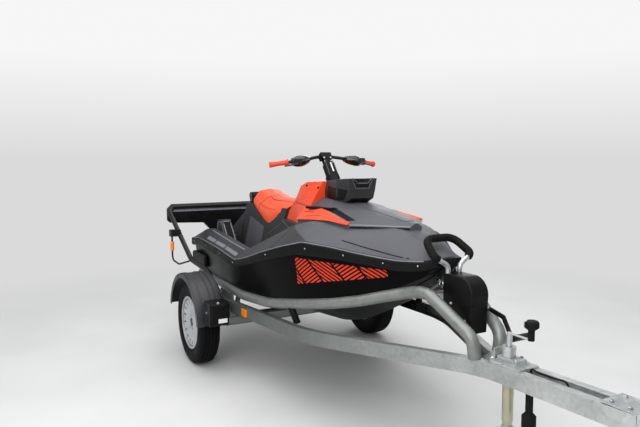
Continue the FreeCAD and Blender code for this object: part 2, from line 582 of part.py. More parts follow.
grip_axis = (bar_end - bar_bend).normalize()
grip_start = bar_end - grip_axis * (mm("grip_length") - 4)
grip_radius = mm("grip_diameter") / 2
grip = fused([
    Part.makeCone(grip_radius, grip_radius * 0.86, mm("grip_length") / 2, grip_start, grip_axis),
    Part.makeCone(grip_radius * 0.86, grip_radius * 1.06, mm("grip_length") / 2,
                  grip_start + grip_axis * (mm("grip_length") / 2), grip_axis),
    Part.makeCylinder(grip_radius * 1.35, 6, grip_start, grip_axis),
    Part.makeCylinder(grip_radius * 1.2, 5, grip_start + grip_axis * (mm("grip_length") - 5), grip_axis),
]).cut(Part.makeCylinder(mm("bar_diameter") / 2 + GAP / 2, mm("grip_length") - 3, grip_start, grip_axis))
feature(in_craft(Part.makeCompound([grip, mirrored(grip)])), "grips")

pod_middle = bar_bend + grip_axis * 28
pod = Part.makeBox(70, 74, 44, V(-30, -37, -22))
pod = pod.makeFillet(12, pod.Edges)
pod.rotate(V(0, 0, 0), V(0, 0, 1), 20)
pod = pod.translated(pod_middle)
lever = rod([pod_middle + V(24, -10, -10), pod_middle + V(52, 22, -18), pod_middle + V(20, 96, -30)], [22], 11)
pod = fused([pod, lever]).cut(Part.makeCylinder(mm("bar_diameter") / 2 + GAP, 240, bar_bend - grip_axis * 60, grip_axis))
pod = pod.cut(rod(bar_route, [60, 60, 60, 60], mm("bar_diameter") + 2 * GAP))
pod = max(pod.Solids, key=lambda solid: solid.Volume)
feature(in_craft(Part.makeCompound([pod, mirrored(pod)])), "lever_pods")

# Jet pump in the tunnel: housing with its venturi, impeller, swivelling nozzle and reverse bucket.
pump_z = mm("pump_z")
X_AXIS = V(1, 0, 0)
Y_AXIS = V(0, 1, 0)
Z_AXIS = V(0, 0, 1)


def turned(profile, centre_z):
    """A ring turned about the fore-and-aft line at a height, from its half section."""
    points = [V(x, 0, centre_z + radius) for x, radius in profile]
    return Part.Face(Part.makePolygon(points + points[:1])).revolve(V(0, 0, centre_z), X_AXIS, 360)


housing_front = mm("tunnel_depth") - GAP
bucket_side = mm("bucket_width") / 2
taper_x = mm("venturi_x") + 46
tube_x = mm("pump_rear_x")


def on_shaft(radius_rear, radius_front, x0, x1):
    """A cylinder or cone on the pump's centre line."""
    foot = V(x0, 0, pump_z)
    if radius_rear == radius_front:
        return Part.makeCylinder(radius_rear, x1 - x0, foot, X_AXIS)
    return Part.makeCone(radius_rear, radius_front, x1 - x0, foot, X_AXIS)


venturi_radius = mm("venturi_diameter") / 2
pump_radius = mm("pump_diameter") / 2
pump_bore = mm("pump_bore") / 2
pump_body = [on_shaft(venturi_radius, venturi_radius, mm("venturi_x"), taper_x),
             on_shaft(venturi_radius, pump_radius, taper_x, tube_x),
             on_shaft(pump_radius, pump_radius, tube_x, housing_front)]
ear_x = mm("bucket_x")
plate = mm("bucket_thickness")
ear_y = bucket_side + plate + 2
pieces = pump_body
for sign in (1, -1):
    ear = box(ear_x - 22, tube_x + 40, ear_y, ear_y + 8, pump_z - 22, pump_z + 22)
    web = box(tube_x + 6, tube_x + 40, 70, ear_y + 8, pump_z - 22, pump_z + 22)
    pivot = Part.makeCylinder(mm("pin_diameter") / 2, plate + 5, V(ear_x, ear_y - plate - 4, pump_z), Y_AXIS)
    pieces += [shape if sign > 0 else mirrored(shape) for shape in (ear, web, pivot)]
pins = Part.makeCylinder(mm("pin_diameter") / 2, mm("nozzle_outer") + 6,
                         V(mm("nozzle_pivot_x"), 0, pump_z - mm("nozzle_outer") / 2 - 3), Z_AXIS)
pump = fused(pieces + [pins])
pump = pump.cut(on_shaft(mm("venturi_bore") / 2, mm("venturi_bore") / 2, mm("venturi_x") - 1, taper_x + 0.01))
pump = pump.cut(on_shaft(mm("venturi_bore") / 2, pump_bore, taper_x, tube_x))
pump = pump.cut(on_shaft(pump_bore, pump_bore, tube_x - 0.01, housing_front + 1))
feature(in_craft(pump), "pump_housing")

nozzle = turned([
    (mm("nozzle_rear_x"), mm("nozzle_bore") / 2), (mm("nozzle_pivot_x") - 22, mm("nozzle_inner") / 2),
    (mm("nozzle_front_x"), mm("nozzle_inner") / 2), (mm("nozzle_front_x"), mm("nozzle_outer") / 2),
    (mm("nozzle_pivot_x") - 22, mm("nozzle_outer") / 2), (mm("nozzle_rear_x"), mm("nozzle_tip") / 2),
], pump_z)
nozzle = nozzle.cut(Part.makeCylinder(mm("pin_diameter") / 2 + 0.05, 300, V(mm("nozzle_pivot_x"), 0, pump_z - 150), Z_AXIS))
feature(in_craft(nozzle), "steering_nozzle")


def sector(radius, wall, y0, y1, start, sweep):
    """A curved plate about the bucket's pivot, from a start angle above the front, sweeping to the rear."""
    ring = Part.makeCylinder(radius, y1 - y0, V(0, 0, -y1), Z_AXIS, sweep)
    if wall < radius:
        ring = ring.cut(Part.makeCylinder(radius - wall, y1 - y0, V(0, 0, -y1)))
    ring.rotate(V(0, 0, 0), X_AXIS, 90)
    ring.rotate(V(0, 0, 0), Y_AXIS, -start)
    return ring.translated(V(ear_x, 0, pump_z))


bucket_arc = (mm("bucket_start"), mm("bucket_sweep"))
bucket_shell = sector(mm("bucket_radius"), plate, -bucket_side - plate, bucket_side + plate, *bucket_arc)
cheek = sector(mm("bucket_radius"), mm("bucket_radius"), bucket_side, bucket_side + plate, *bucket_arc)
boss = Part.makeCylinder(16, plate, V(ear_x, bucket_side, pump_z), Y_AXIS)
bucket = fused([bucket_shell, cheek, boss, mirrored(cheek), mirrored(boss)])
bucket = bucket.cut(Part.makeCylinder(mm("pin_diameter") / 2 + 0.05, 400, V(ear_x, -200, pump_z), Y_AXIS))
feature(in_craft(bucket), "reverse_bucket")

impeller_end = mm("impeller_x") + mm("impeller_length")
hub_core = Part.makeCylinder(mm("impeller_hub") / 2, mm("impeller_length"), V(mm("impeller_x"), 0, pump_z), X_AXIS)
shaft = Part.makeCylinder(mm("impeller_hub") / 4, housing_front - impeller_end - GAP, V(impeller_end, 0, pump_z), X_AXIS)


def blade_edge(radius, lean_degrees):
    """A slanted chord of a blade at one radius."""
    half = mm("impeller_length") / 2 - 2
    middle = mm("impeller_x") + half + 2
    skew = half * math.tan(math.radians(lean_degrees))
    thick = mm("blade_thickness") / 2
    corners = [V(middle - half, -skew - thick, pump_z + radius), V(middle - half, -skew + thick, pump_z + radius),
               V(middle + half, skew + thick, pump_z + radius), V(middle + half, skew - thick, pump_z + radius)]
    return Part.makePolygon(corners + corners[:1])


blade = Part.makeLoft([blade_edge(mm("impeller_hub") / 4, mm("blade_lean") / 2),
                       blade_edge(mm("impeller_diameter") / 2, mm("blade_lean"))], True, True)
blade = blade.common(Part.makeCylinder(mm("impeller_diameter") / 2, 600, V(0, 0, pump_z), X_AXIS))
blades = []
for number in range(int(mm("blade_count"))):
    turned_blade = blade.copy()
    turned_blade.rotate(V(0, 0, pump_z), X_AXIS, 360 / mm("blade_count") * number)
    blades.append(turned_blade)
feature(in_craft(fused([hub_core, shaft] + blades)), "impeller")


# Ride plate under the tunnel, grate over the intake, sponsons on the flanks and the towing eye.
ride_plate = new_body("ride_plate")
plate_edge = "(tunnel_y - seat_gap)"
pad(ride_plate, "YZ_Plane", "ride_plate_rear_x", both_sides([
    ("0", "0"), (plate_edge, plate_edge + " * deadrise_slope"),
    (plate_edge, plate_edge + " * deadrise_slope + ride_plate_thickness"), ("0", "ride_plate_thickness"),
]), "tunnel_depth - seat_gap - ride_plate_rear_x", "plate")
place_craft(ride_plate)

bar = mm("grate_bar")
grate_ends = (mm("intake_rear_x") + GAP, mm("intake_front_x") - GAP)
grate_bars = [box(*grate_ends, y - bar / 2, y + bar / 2, 30, 30 + 1.6 * bar)
              for y in (-0.5 * mm("intake_y"), 0, 0.5 * mm("intake_y"))]
grate_bars.append(box(grate_ends[0], grate_ends[0] + bar, -mm("intake_y") + GAP, mm("intake_y") - GAP, 30, 30 + 1.6 * bar))
grate_bars.append(box(grate_ends[1] - bar, grate_ends[1], -mm("intake_y") + GAP, mm("intake_y") - GAP, 30, 30 + 1.6 * bar))
feature(in_craft(fused(grate_bars)), "intake_grate")

doc.recompute()
hull_shape = hull_body.Shape.translated(craft_point(0, 0, 0) * -1)
sponson = box(mm("sponson_x"), mm("sponson_x") + mm("sponson_length"), 380, mm("sponson_y"),
              mm("sponson_z"), mm("sponson_z") + mm("sponson_height"))
sponson = sponson.makeFillet(18, [edge for edge in sponson.Edges if edge.BoundBox.YMin > mm("sponson_y") - 1])
sponson = sponson.cut(hull_shape.translated(V(0, GAP, 0)))
sponson = max(sponson.Solids, key=lambda solid: solid.Volume)
feature(in_craft(Part.makeCompound([sponson, mirrored(sponson)])), "sponsons")

stem_run = V(mm("station13") - mm("station12"), 0, mm("keel_z13") - mm("keel_z12"))
stem_out = V(stem_run.z, 0, -stem_run.x).normalize()
eye_share = (mm("eye_x") - mm("station12")) / stem_run.x
eye_base = V(mm("station12"), 0, mm("keel_z12")) + stem_run * eye_share + stem_out * GAP
eye_at = eye_base + stem_out * 20
eye = fused([Part.makeTorus(14, 5, eye_at, Y_AXIS), Part.makeCylinder(12, 6, eye_base, stem_out)])
feature(in_craft(eye), "bow_eye")

# Wheels: one tyre, slotted steel rim and hub each side, turned about the stub axle.
wheel_offsets = (("starboard", -1), ("port", 1))


def ring_of(profile):
    """A ring turned about the wheel's axle from its half section, outboard side positive."""
    points = [V(0, y, radius) for y, radius in profile]
    return Part.Face(Part.makePolygon(points + points[:1])).revolve(V(0, 0, 0), Y_AXIS, 360)


wheel_radius = mm("wheel_radius")
rim_radius = mm("rim_radius")
half_tyre = mm("tyre_width") / 2
half_rim = mm("rim_width") / 2
rim_wall = mm("rim_wall")
half_tyre_section = [
    (half_rim - rim_wall - 4, rim_radius - 12), (half_rim - rim_wall - GAP, rim_radius - 12),
    (half_rim - rim_wall - GAP, rim_radius + 3), (half_tyre - 4, rim_radius + 22), (half_tyre, rim_radius + 44),
    (half_tyre - 2, wheel_radius - 28), (half_tyre - 12, wheel_radius - 9), (half_tyre - 24, wheel_radius - 2),
    (half_tyre - 30, wheel_radius),
]
inner_tyre = [(half_rim - rim_wall - 4, rim_radius - 12), (half_rim - rim_wall - 6, rim_radius + 8),
              (half_tyre - 12, rim_radius + 44), (half_tyre - 26, wheel_radius - 16)]
tyre_section = half_tyre_section[1:] + [(-y, r) for y, r in reversed(half_tyre_section[1:])]
tyre_section += [(-y, r) for y, r in inner_tyre] + [(y, r) for y, r in reversed(inner_tyre)]
tyre = ring_of(tyre_section)

drop = 16
rim_outer = [
    (-half_rim, rim_radius), (-half_rim, rim_radius - 14), (-half_rim + 26, rim_radius - 16),
    (-half_rim + 40, rim_radius - 16 - drop), (half_rim - 46, rim_radius - 16 - drop),
    (half_rim - 30, rim_radius - 16), (half_rim, rim_radius - 14), (half_rim, rim_radius),
]
rim_inner = [
    (half_rim - rim_wall, rim_radius), (half_rim - rim_wall, rim_radius - 12.3), (half_rim - 29, rim_radius - 12.3),
    (half_rim - 44, rim_radius - 12.3 - drop), (-half_rim + 38, rim_radius - 12.3 - drop),
    (-half_rim + 25, rim_radius - 12.3), (-half_rim + rim_wall, rim_radius - 12.3), (-half_rim + rim_wall, rim_radius),
]
barrel = ring_of(rim_outer + rim_inner)
disc_y = half_rim - 40
hub_bore = 30
disc = ring_of([
    (disc_y - 8, hub_bore + GAP), (disc_y - 8, mm("hub_radius") + 8), (disc_y + 10, mm("hub_radius") + 34),
    (disc_y - 6, rim_radius - 30), (disc_y - 12, rim_radius - 30), (disc_y - 2, rim_radius - 40),
    (disc_y + 5, mm("hub_radius") + 36), (disc_y - 13, mm("hub_radius") + 10), (disc_y - 13, hub_bore + GAP),
])
slots = []
for number in range(int(mm("slot_count"))):
    slot = fused([
        Part.makeCylinder(mm("slot_width") / 2, 60, V(0, disc_y - 30, mm("slot_circle") - shift), Y_AXIS)
        for shift in (-5, 5)
    ] + [box(-mm("slot_width") / 2, mm("slot_width") / 2, disc_y - 30, disc_y + 30,
             mm("slot_circle") - 5, mm("slot_circle") + 5)])
    slot.rotate(V(0, 0, 0), Y_AXIS, 360 / mm("slot_count") * number)
    slots.append(slot)
rim = barrel.fuse(disc.cut(Part.makeCompound(slots)))
stub_radius = mm("stub_diameter") / 2
hub = ring_of([
    (-20, stub_radius + mm("bore_clearance")), (-20, 40), (disc_y - 28, 40), (disc_y - 28, mm("hub_radius")),
    (disc_y - 13 - GAP, mm("hub_radius")), (disc_y - 13 - GAP, hub_bore), (disc_y + 14, hub_bore),
    (disc_y + 22, hub_bore - 8), (disc_y + 22, 0), (disc_y + 8, 0), (disc_y + 8, stub_radius + mm("bore_clearance")),
])
for side, sign in wheel_offsets:
    for label, shape in (("tyre", tyre), ("rim", rim), ("hub", hub)):
        turned_shape = shape if sign > 0 else mirrored(shape)
        feature(turned_shape.translated(trailer_point(0, sign * mm("half_track"), wheel_radius)), label + "_" + side)

# Axle: a rubber-torsion cross tube with a trailing arm and stub at each end.
half_tube = mm("axle_tube") / 2
axle_x0 = mm("axle_offset")
axle_end = mm("axle_half_length")
axle = box(axle_x0 - half_tube, axle_x0 + half_tube, -axle_end, axle_end, mm("axle_z") - half_tube, mm("axle_z") + half_tube)
axle = axle.makeChamfer(12, [edge for edge in axle.Edges if edge.BoundBox.YLength > axle_end])
feature(in_trailer(axle), "axle_beam")
arm_y0 = axle_end + GAP
arm_y1 = arm_y0 + mm("arm_thickness")
arm_run = math.hypot(axle_x0, mm("axle_z") - wheel_radius)
arm = fused([
    box(0, arm_run, arm_y0, arm_y1, -28, 28),
    Part.makeCylinder(34, mm("arm_thickness"), V(arm_run, arm_y0, 0), Y_AXIS),
    Part.makeCylinder(30, mm("arm_thickness"), V(0, arm_y0, 0), Y_AXIS),
])
arm.rotate(V(0, 0, 0), Y_AXIS, -math.degrees(math.atan2(mm("axle_z") - wheel_radius, axle_x0)))
stub_end = mm("half_track") + disc_y + 6
stub = Part.makeCylinder(stub_radius, stub_end - arm_y0, V(0, arm_y0, 0), Y_AXIS)
arm = fused([arm, stub]).translated(V(0, 0, wheel_radius))
feature(in_trailer(Part.makeCompound([arm, mirrored(arm)])), "trailing_arms")


# Fenders: an arched shell with lips round each wheel, a mud flap box in front and an inner support.
fender_out = mm("fender_radius")
fender_half = mm("fender_width") / 2
fender_wall = mm("fender_wall")


def fender_arc(radius, y0, y1):
    """A disc sector over the wheel, from the front angle back to the rear tip."""
    disc_sector = Part.makeCylinder(radius, y1 - y0, V(0, 0, -y1), Z_AXIS, mm("fender_sweep"))
    disc_sector.rotate(V(0, 0, 0), X_AXIS, 90)
    disc_sector.rotate(V(0, 0, 0), Y_AXIS, -mm("fender_front_angle"))
    return disc_sector


arch = fender_arc(fender_out, -fender_half, fender_half)
arch = arch.cut(Part.makeCylinder(fender_out - fender_wall, 2 * (fender_half - fender_wall),
                                  V(0, fender_wall - fender_half, 0), Y_AXIS))
arch = arch.cut(Part.makeCylinder(mm("fender_lip"), 2 * fender_half + 2, V(0, -fender_half - 1, 0), Y_AXIS))
flap_x = fender_out * math.cos(math.radians(mm("fender_front_angle"))) - 40
flap_z = mm("flap_z") - wheel_radius
flap = box(flap_x, flap_x + mm("flap_length"), -fender_half, -fender_half + mm("flap_width"),
           flap_z, flap_z + mm("flap_height"))
flap = flap.makeChamfer(14, [edge for edge in flap.Edges if edge.BoundBox.XMin > flap_x + mm("flap_length") - 1])
support = Part.Face(Part.makePolygon([
    V(flap_x + 60, 0, flap_z + mm("flap_height") - 2), V(60, 0, fender_out - 22), V(-90, 0, fender_out - 24),
    V(-60, 0, fender_out - 60), V(flap_x - 20, 0, flap_z + 30), V(flap_x + 60, 0, flap_z + 30),
    V(flap_x + 60, 0, flap_z + mm("flap_height") - 2),
])).extrude(V(0, 10, 0)).translated(V(0, -fender_half, 0))
fender = fused([arch, flap, support])
wheel_room = Part.makeCylinder(wheel_radius + 14, 2 * half_tyre + 2 * mm("running_gap"),
                               V(0, mm("half_track") - half_tyre - mm("running_gap"), wheel_radius), Y_AXIS)
fender = fender.translated(V(-mm("fender_back"), mm("half_track") + mm("fender_offset"), wheel_radius)).cut(wheel_room)
fender = max(fender.Solids, key=lambda solid: solid.Volume)
feature(in_trailer(Part.makeCompound([fender, mirrored(fender)])), "fenders")

# Main beams: channels bent in plan from the axle to the drawbar, where they run side by side.
beam_start = V(mm("beam_rear_x"), mm("beam_rear_y"), mm("beam_rear_z"))
beam_bend = V(mm("beam_bend_x"), mm("beam_bend_y"), 0)
beam_nose = V(mm("beam_nose_x"), mm("beam_nose_y"), mm("beam_nose_z"))
beam_tip = V(mm("beam_tip_x"), mm("beam_nose_y"), 0)
beam_slope = (beam_nose.z - beam_start.z) / (beam_nose.x - beam_start.x)


def beam_bar(width, height, inset):
    """A flat bar along the beam's plan route, its middle inset towards the centre plane."""
    route = [V(p.x, p.y - inset, 0) for p in (beam_start, beam_bend, beam_nose, beam_tip)]
    radii = (mm("beam_bend_radius"), mm("beam_nose_radius"))
    start = route[0]
    direction = (route[1] - route[0]).normalize()
    pieces = []

    def section(at, along):
        side = V(-along.y, along.x, 0) * (width / 2)
        up = V(0, 0, height / 2)
        return Part.Face(Part.makePolygon([at - side - up, at + side - up, at + side + up, at - side + up, at - side - up]))

    for corner, after, radius in zip(route[1:], route[2:], radii):
        leaving = (after - corner).normalize()
        turn = direction.getAngle(leaving)
        reach = radius * math.tan(turn / 2)
        first = corner - direction * reach
        pieces.append(section(start, direction).extrude(first - start))
        axis = direction.cross(leaving).normalize()
        centre = first + axis.cross(direction).normalize() * radius
        pieces.append(section(first, direction).revolve(centre, axis, math.degrees(turn)))
        start = corner + leaving * reach
        direction = leaving
    pieces.append(section(start, direction).extrude(route[-1] - start))
    return fused(pieces)


beam_height = mm("beam_height")
beam_wall = mm("beam_wall")
beam = beam_bar(mm("beam_width"), beam_height, 0)
beam = beam.cut(beam_bar(mm("beam_width"), beam_height - 2 * beam_wall, beam_wall))
beam.rotate(V(0, 0, 0), Y_AXIS, -math.degrees(math.atan(beam_slope)))
beam = beam.translated(V(0, 0, mm("beam_rear_z") - beam_slope * mm("beam_rear_x")))


def beam_z(x):
    """Height of the beam's middle at a distance ahead of the wheel centres."""
    return mm("beam_rear_z") + beam_slope * (x - mm("beam_rear_x"))


feature(in_trailer(Part.makeCompound([beam, mirrored(beam)])), "main_beams")

beam_room = beam_bar(mm("beam_width") + 2 * GAP, beam_height + 2 * GAP, 0)
beam_room.rotate(V(0, 0, 0), Y_AXIS, -math.degrees(math.atan(beam_slope)))
beam_room = beam_room.translated(V(0, 0, mm("beam_rear_z") - beam_slope * mm("beam_rear_x")))

# Cradle tubes: follow the chines, rise over a peak at the bow and run down to feet on the beams.
hull_x = mm("stern_overhang")
cradle_route = [V(mm("station%d" % i) - hull_x, mm("chine_y%d" % i) + 6,
                  mm("chine_z%d" % i) + mm("keel_height") - mm("cradle_rise")) for i in (1, 3, 5, 7, 8, 9, 10)]
cradle_route[0] = cradle_route[0] - V(mm("cradle_back"), 8, -2)
cradle_foot = V(mm("cradle_bend_x"), mm("cradle_foot_y"), beam_z(mm("cradle_bend_x")) + beam_height / 2 + GAP + 1)
cradle_route += [V(mm("cradle_%s_x" % at), mm("cradle_%s_y" % at), mm("cradle_%s_z" % at))
                 for at in ("bow", "peak", "crest", "bend")] + [cradle_foot]
cradle_radii = [900, 900, 700, 400, 400, 300, 200, 100, 60, 80]


def cradle_tube(diameter):
    return rod(cradle_route, cradle_radii, diameter)


cradle = cradle_tube(mm("cradle_diameter")).cut(beam_room)
cradle = max(cradle.Solids, key=lambda solid: solid.Volume)
cradle_room = cradle_tube(mm("cradle_diameter") + 2 * GAP)
feature(in_trailer(Part.makeCompound([cradle, mirrored(cradle)])), "cradle_tubes")

# The hull nests on the cradle tubes.
nest = doc.addObject("Part::Feature", "cradle_nest")
nest.Shape = in_trailer(Part.makeCompound([cradle_room, mirrored(cradle_room)]))
cut(hull_body, nest, "hull")

# Props from the axle to the cradle, stub bars under it and the keel pad.
axle_top = mm("axle_z") + half_tube + GAP
saddle_room = cradle_tube(mm("cradle_diameter") + 2 * mm("saddle_gap"))
prop_foot = V(mm("prop_x"), mm("prop_y"), axle_top)
prop_knee = prop_foot + V(0, 0, mm("prop_rise"))
prop = rod([prop_foot, prop_knee, V(mm("prop_top_x"), mm("prop_top_y"), prop_knee.z + 12)],
           [70], mm("prop_diameter")).cut(saddle_room)
prop = max(prop.Solids, key=lambda solid: solid.Volume)
stub_top = V(mm("stub_x"), 470, 588)
stub_low = V(mm("stub_low_x"), mm("stub_low_y"), mm("stub_low_z"))
stub_bar = Part.makeCylinder(mm("stub_rubber") / 2, (stub_low - stub_top).Length, stub_top, stub_low - stub_top)
stub_bar = stub_bar.cut(cradle_room)
stub_bar = max(stub_bar.Solids, key=lambda solid: solid.CenterOfMass.z * -1)
doc.recompute()
hull_trailer = parts["hull"].Shape.translated(trailer_point(0, 0, 0) * -1)
keel_block = box(axle_x0 - mm("pad_half_length") / 2, axle_x0 + mm("pad_half_length") / 2, -mm("pad_half_width"),
          mm("pad_half_width"), axle_top, axle_top + 60).cut(hull_trailer.translated(V(0, 0, -GAP)))
keel_pad = min(keel_block.Solids, key=lambda solid: solid.CenterOfMass.z)
feature(in_trailer(Part.makeCompound([keel_pad, stub_bar, mirrored(stub_bar)])), "rubber_pads")

# Beam brackets: plates that clamp the beams' rear ends to the axle.
bracket_top = mm("beam_rear_z") - beam_height / 2 - GAP


def beam_y(x):
    """The beam's distance from the centre plane on its rear run."""
    share = (x - beam_start.x) / (beam_bend.x - beam_start.x)
    return beam_start.y + (beam_bend.y - beam_start.y) * share


bracket_y = beam_y(axle_x0)
bracket = box(axle_x0 - 60, axle_x0 + 60, bracket_y - 26, bracket_y + 26, axle_top, bracket_top + 20).cut(beam_room)
bracket = min(bracket.Solids, key=lambda solid: solid.CenterOfMass.z)

# Light board behind the stern: a moulded bar with a sloped top, carried by one bent hoop of tube.
board = doc.addObject("PartDesign::Body", "board_body")
pad_points = both_sides([
    ("0", "board_middle_z"), ("board_middle_y", "board_middle_z"), ("board_middle_y + 60", "board_end_z - 12"),
    ("board_half - 20", "board_end_z"), ("board_half", "board_end_z + 20"), ("board_half", "board_top - 40"),
    ("board_half - 40", "board_top"), ("0", "board_top"),
])
pad(board, "YZ_Plane", "board_x - board_depth", pad_points, "board_depth - seat_gap", "board_panel")
pocket(board, "XZ_Plane", "0", [
    ("board_x - board_slope", "board_top + 1"), ("board_x + 10", "board_top + 1"), ("board_x + 10", "board_face_z"),
    ("board_x", "board_face_z"),
], "board_half * 2 + 20", "sloped_top", symmetric=True)
place_trailer(board)

tube_back = mm("board_x") - mm("channel_depth")
foot_z = beam_z(mm("leg_foot_x"))
hoop_half = [
    V(mm("leg_foot_x"), mm("leg_front_y") - 6, mm("leg_front_z") - 118),
    V(mm("leg_front_x"), mm("leg_front_y"), mm("leg_front_z")),
    V(mm("leg_kink_x"), mm("leg_kink_y"), mm("leg_kink_z")),
    V(tube_back, mm("hoop_corner_y"), mm("hoop_board_z")),
]
hoop_route = hoop_half + [V(p.x, -p.y, p.z) for p in reversed(hoop_half)]
light_hoop = rod(hoop_route, [140, 160, 70, 70, 160, 140], mm("hoop_tube"))
hoop_room = rod(hoop_route, [140, 160, 70, 70, 160, 140], mm("hoop_tube") + 2 * GAP)
feature(in_trailer(light_hoop), "light_hoop")
channel = doc.addObject("Part::Feature", "hoop_channel")
channel.Shape = in_trailer(hoop_room)
cut(board, channel, "light_board")

# Feet that carry the hoop on the axle, inboard of the wheels.
hoop_foot = hoop_half[0]
foot_plate = box(hoop_foot.x - 24, axle_x0 + half_tube, hoop_foot.y - 34, hoop_foot.y - 22, axle_top, hoop_foot.z + 26)
foot_saddle = Part.makeCylinder(15, 24, hoop_foot - V(0, 23, 0), Y_AXIS)
foot_block = fused([foot_plate, foot_saddle]).cut(hoop_room).cut(beam_room).cut(saddle_room)
foot_block = max(foot_block.Solids, key=lambda solid: solid.Volume)
support_y = mm("half_track") + mm("fender_offset") - fender_half - GAP
stay_x0 = axle_x0 - mm("stay_width") / 2
stay_x1 = axle_x0 + mm("stay_width") / 2
fender_stay = [box(stay_x0, stay_x1, bracket_y, support_y, axle_top, axle_top + 8),
               box(stay_x0, stay_x1, support_y - 8, support_y, axle_top, axle_top + mm("stay_height"))]
axle_irons = fused([foot_block, bracket, prop] + fender_stay)
feature(in_trailer(Part.makeCompound([axle_irons, mirrored(axle_irons)])), "axle_brackets")

lamp = box(mm("board_x") - mm("board_depth") - mm("lamp_depth"), mm("board_x") - mm("board_depth") - GAP,
           mm("lamp_y") - mm("lamp_width") / 2, mm("lamp_y") + mm("lamp_width") / 2,
           mm("board_end_z") + 30, mm("board_end_z") + 30 + mm("lamp_height"))
lamp = lamp.makeFillet(10, [edge for edge in lamp.Edges
                            if edge.BoundBox.XMax < mm("board_x") - mm("board_depth") - mm("lamp_depth") + 1])
feature(in_trailer(Part.makeCompound([lamp, mirrored(lamp)])), "tail_lamps")

# Side marker lamps on their stalks beside the hoop's legs.
leg_line = hoop_half[3] - hoop_half[2]


def on_leg(z):
    return hoop_half[2] + leg_line * ((z - hoop_half[2].z) / leg_line.z)


stalk_half = mm("stalk_diameter") / 2
stalk_clear = mm("hoop_tube") / 2 + stalk_half + GAP
stalk_top = V(mm("marker_x"), mm("marker_y"), mm("stalk_top_z"))
stalk_end = V(mm("stalk_end_x"), mm("leg_kink_y") + stalk_clear, mm("leg_kink_z") - 6)
stalk = rod([stalk_top, V(mm("marker_x"), mm("marker_y"), mm("stalk_low_z")),
             V(mm("stalk_end_x") - 130, mm("marker_y") - 14, mm("stalk_low_z") - 16), stalk_end],
            [45, 60], mm("stalk_diameter"))
grip_point = on_leg(mm("stalk_top_z") - 12)
clamp = box(grip_point.x - 18, mm("marker_x") + 16, grip_point.y - 6, mm("marker_y") + 12,
            mm("stalk_top_z") - 40, mm("stalk_top_z") + 12)
clamp = clamp.makeFillet(8, [edge for edge in clamp.Edges if edge.BoundBox.ZLength > 40])
clamp = clamp.cut(hoop_room)
clamp = max(clamp.Solids, key=lambda solid: solid.Volume)
stalk = stalk.fuse(clamp)
feature(in_trailer(Part.makeCompound([stalk, mirrored(stalk)])), "marker_stalks")
marker_foot = V(mm("marker_x"), mm("marker_y"), mm("marker_z") - mm("marker_length") / 2)
marker = Part.makeCylinder(mm("marker_diameter") / 2, mm("marker_length"), marker_foot, Z_AXIS)
marker = marker.makeFillet(6, marker.Edges[:1] + marker.Edges[2:])
marker = marker.cut(Part.makeCylinder(stalk_half + GAP / 2, mm("marker_length") + 2, marker_foot - V(0, 0, 1), Z_AXIS))

# Reflectors on the beams' outer faces.
side_y = beam_y(mm("side_marker_x")) + mm("beam_width") / 2
side_lamp = box(mm("side_marker_x") - 32, mm("side_marker_x") + 32, side_y - 30, side_y + 12,
                beam_z(mm("side_marker_x")) - 24, beam_z(mm("side_marker_x")) + 24).cut(beam_room)
side_lamp = max(side_lamp.Solids, key=lambda solid: solid.CenterOfMass.y)
feature(in_trailer(Part.makeCompound([marker, side_lamp, mirrored(marker), mirrored(side_lamp)])), "side_lamps")

# Winch under the bow: side plates with a crossbar between the cradle tubes, drum, strap and hand crank.
winch_at = V(mm("winch_x"), 0, mm("winch_z"))
plate_y0 = mm("winch_half_width") + 2
plate_y1 = plate_y0 + mm("winch_plate")
bracket_z = mm("bracket_z")
plate_outline = [
    (winch_at.x - 38, winch_at.z - 24), (winch_at.x - 28, bracket_z + 6), (mm("cover_rear_x"), bracket_z + 6),
    (mm("stop_x") - 14, bracket_z + 30), (mm("stop_x") + 16, bracket_z + 30), (mm("shaft_x") - 46, bracket_z),
    (mm("shaft_x") + 14, mm("shaft_z") + 14), (mm("shaft_x") + 10, mm("shaft_z") - 44),
    (mm("shaft_x") - 38, mm("shaft_z") - 70),
    (mm("cover_rear_x") + 22, mm("cover_heel_z") - 16),
]


def upright(outline_points, y0, y1):
    """A plate standing fore and aft, from its side outline."""
    corners = [V(x, y0, z) for x, z in outline_points]
    return Part.Face(Part.makePolygon(corners + corners[:1])).extrude(V(0, y1 - y0, 0))


winch_side = upright(plate_outline, plate_y0, plate_y1)
bolt_spots = ((mm("cover_rear_x") + 28, mm("cover_heel_z") + 6), (mm("shaft_x") - 36, mm("shaft_z") - 50))
bosses = [Part.makeCylinder(8, mm("cover_half") - mm("cover_wall") - GAP - plate_y1, V(x, plate_y1, z), Y_AXIS)
          for x, z in bolt_spots]
crossbar = box(winch_at.x - 22, winch_at.x + 16, -160, 160, bracket_z, bracket_z + 6).cut(
    Part.makeCompound([cradle_room, mirrored(cradle_room)]))
crossbar = max(crossbar.Solids, key=lambda solid: solid.Volume)
half_frame = [winch_side] + bosses
drum_pin = Part.makeCylinder(8, 2 * plate_y1, V(winch_at.x, -plate_y1, winch_at.z), Y_AXIS)
frame_solid = fused(half_frame + [mirrored(shape) for shape in half_frame] + [crossbar, drum_pin])
shaft_radius = mm("shaft_diameter") / 2
shaft_room = Part.makeCylinder(shaft_radius + mm("bore_clearance"), 300, V(mm("shaft_x"), -150, mm("shaft_z")), Y_AXIS)
feature(in_trailer(frame_solid.cut(shaft_room)), "winch_frame")

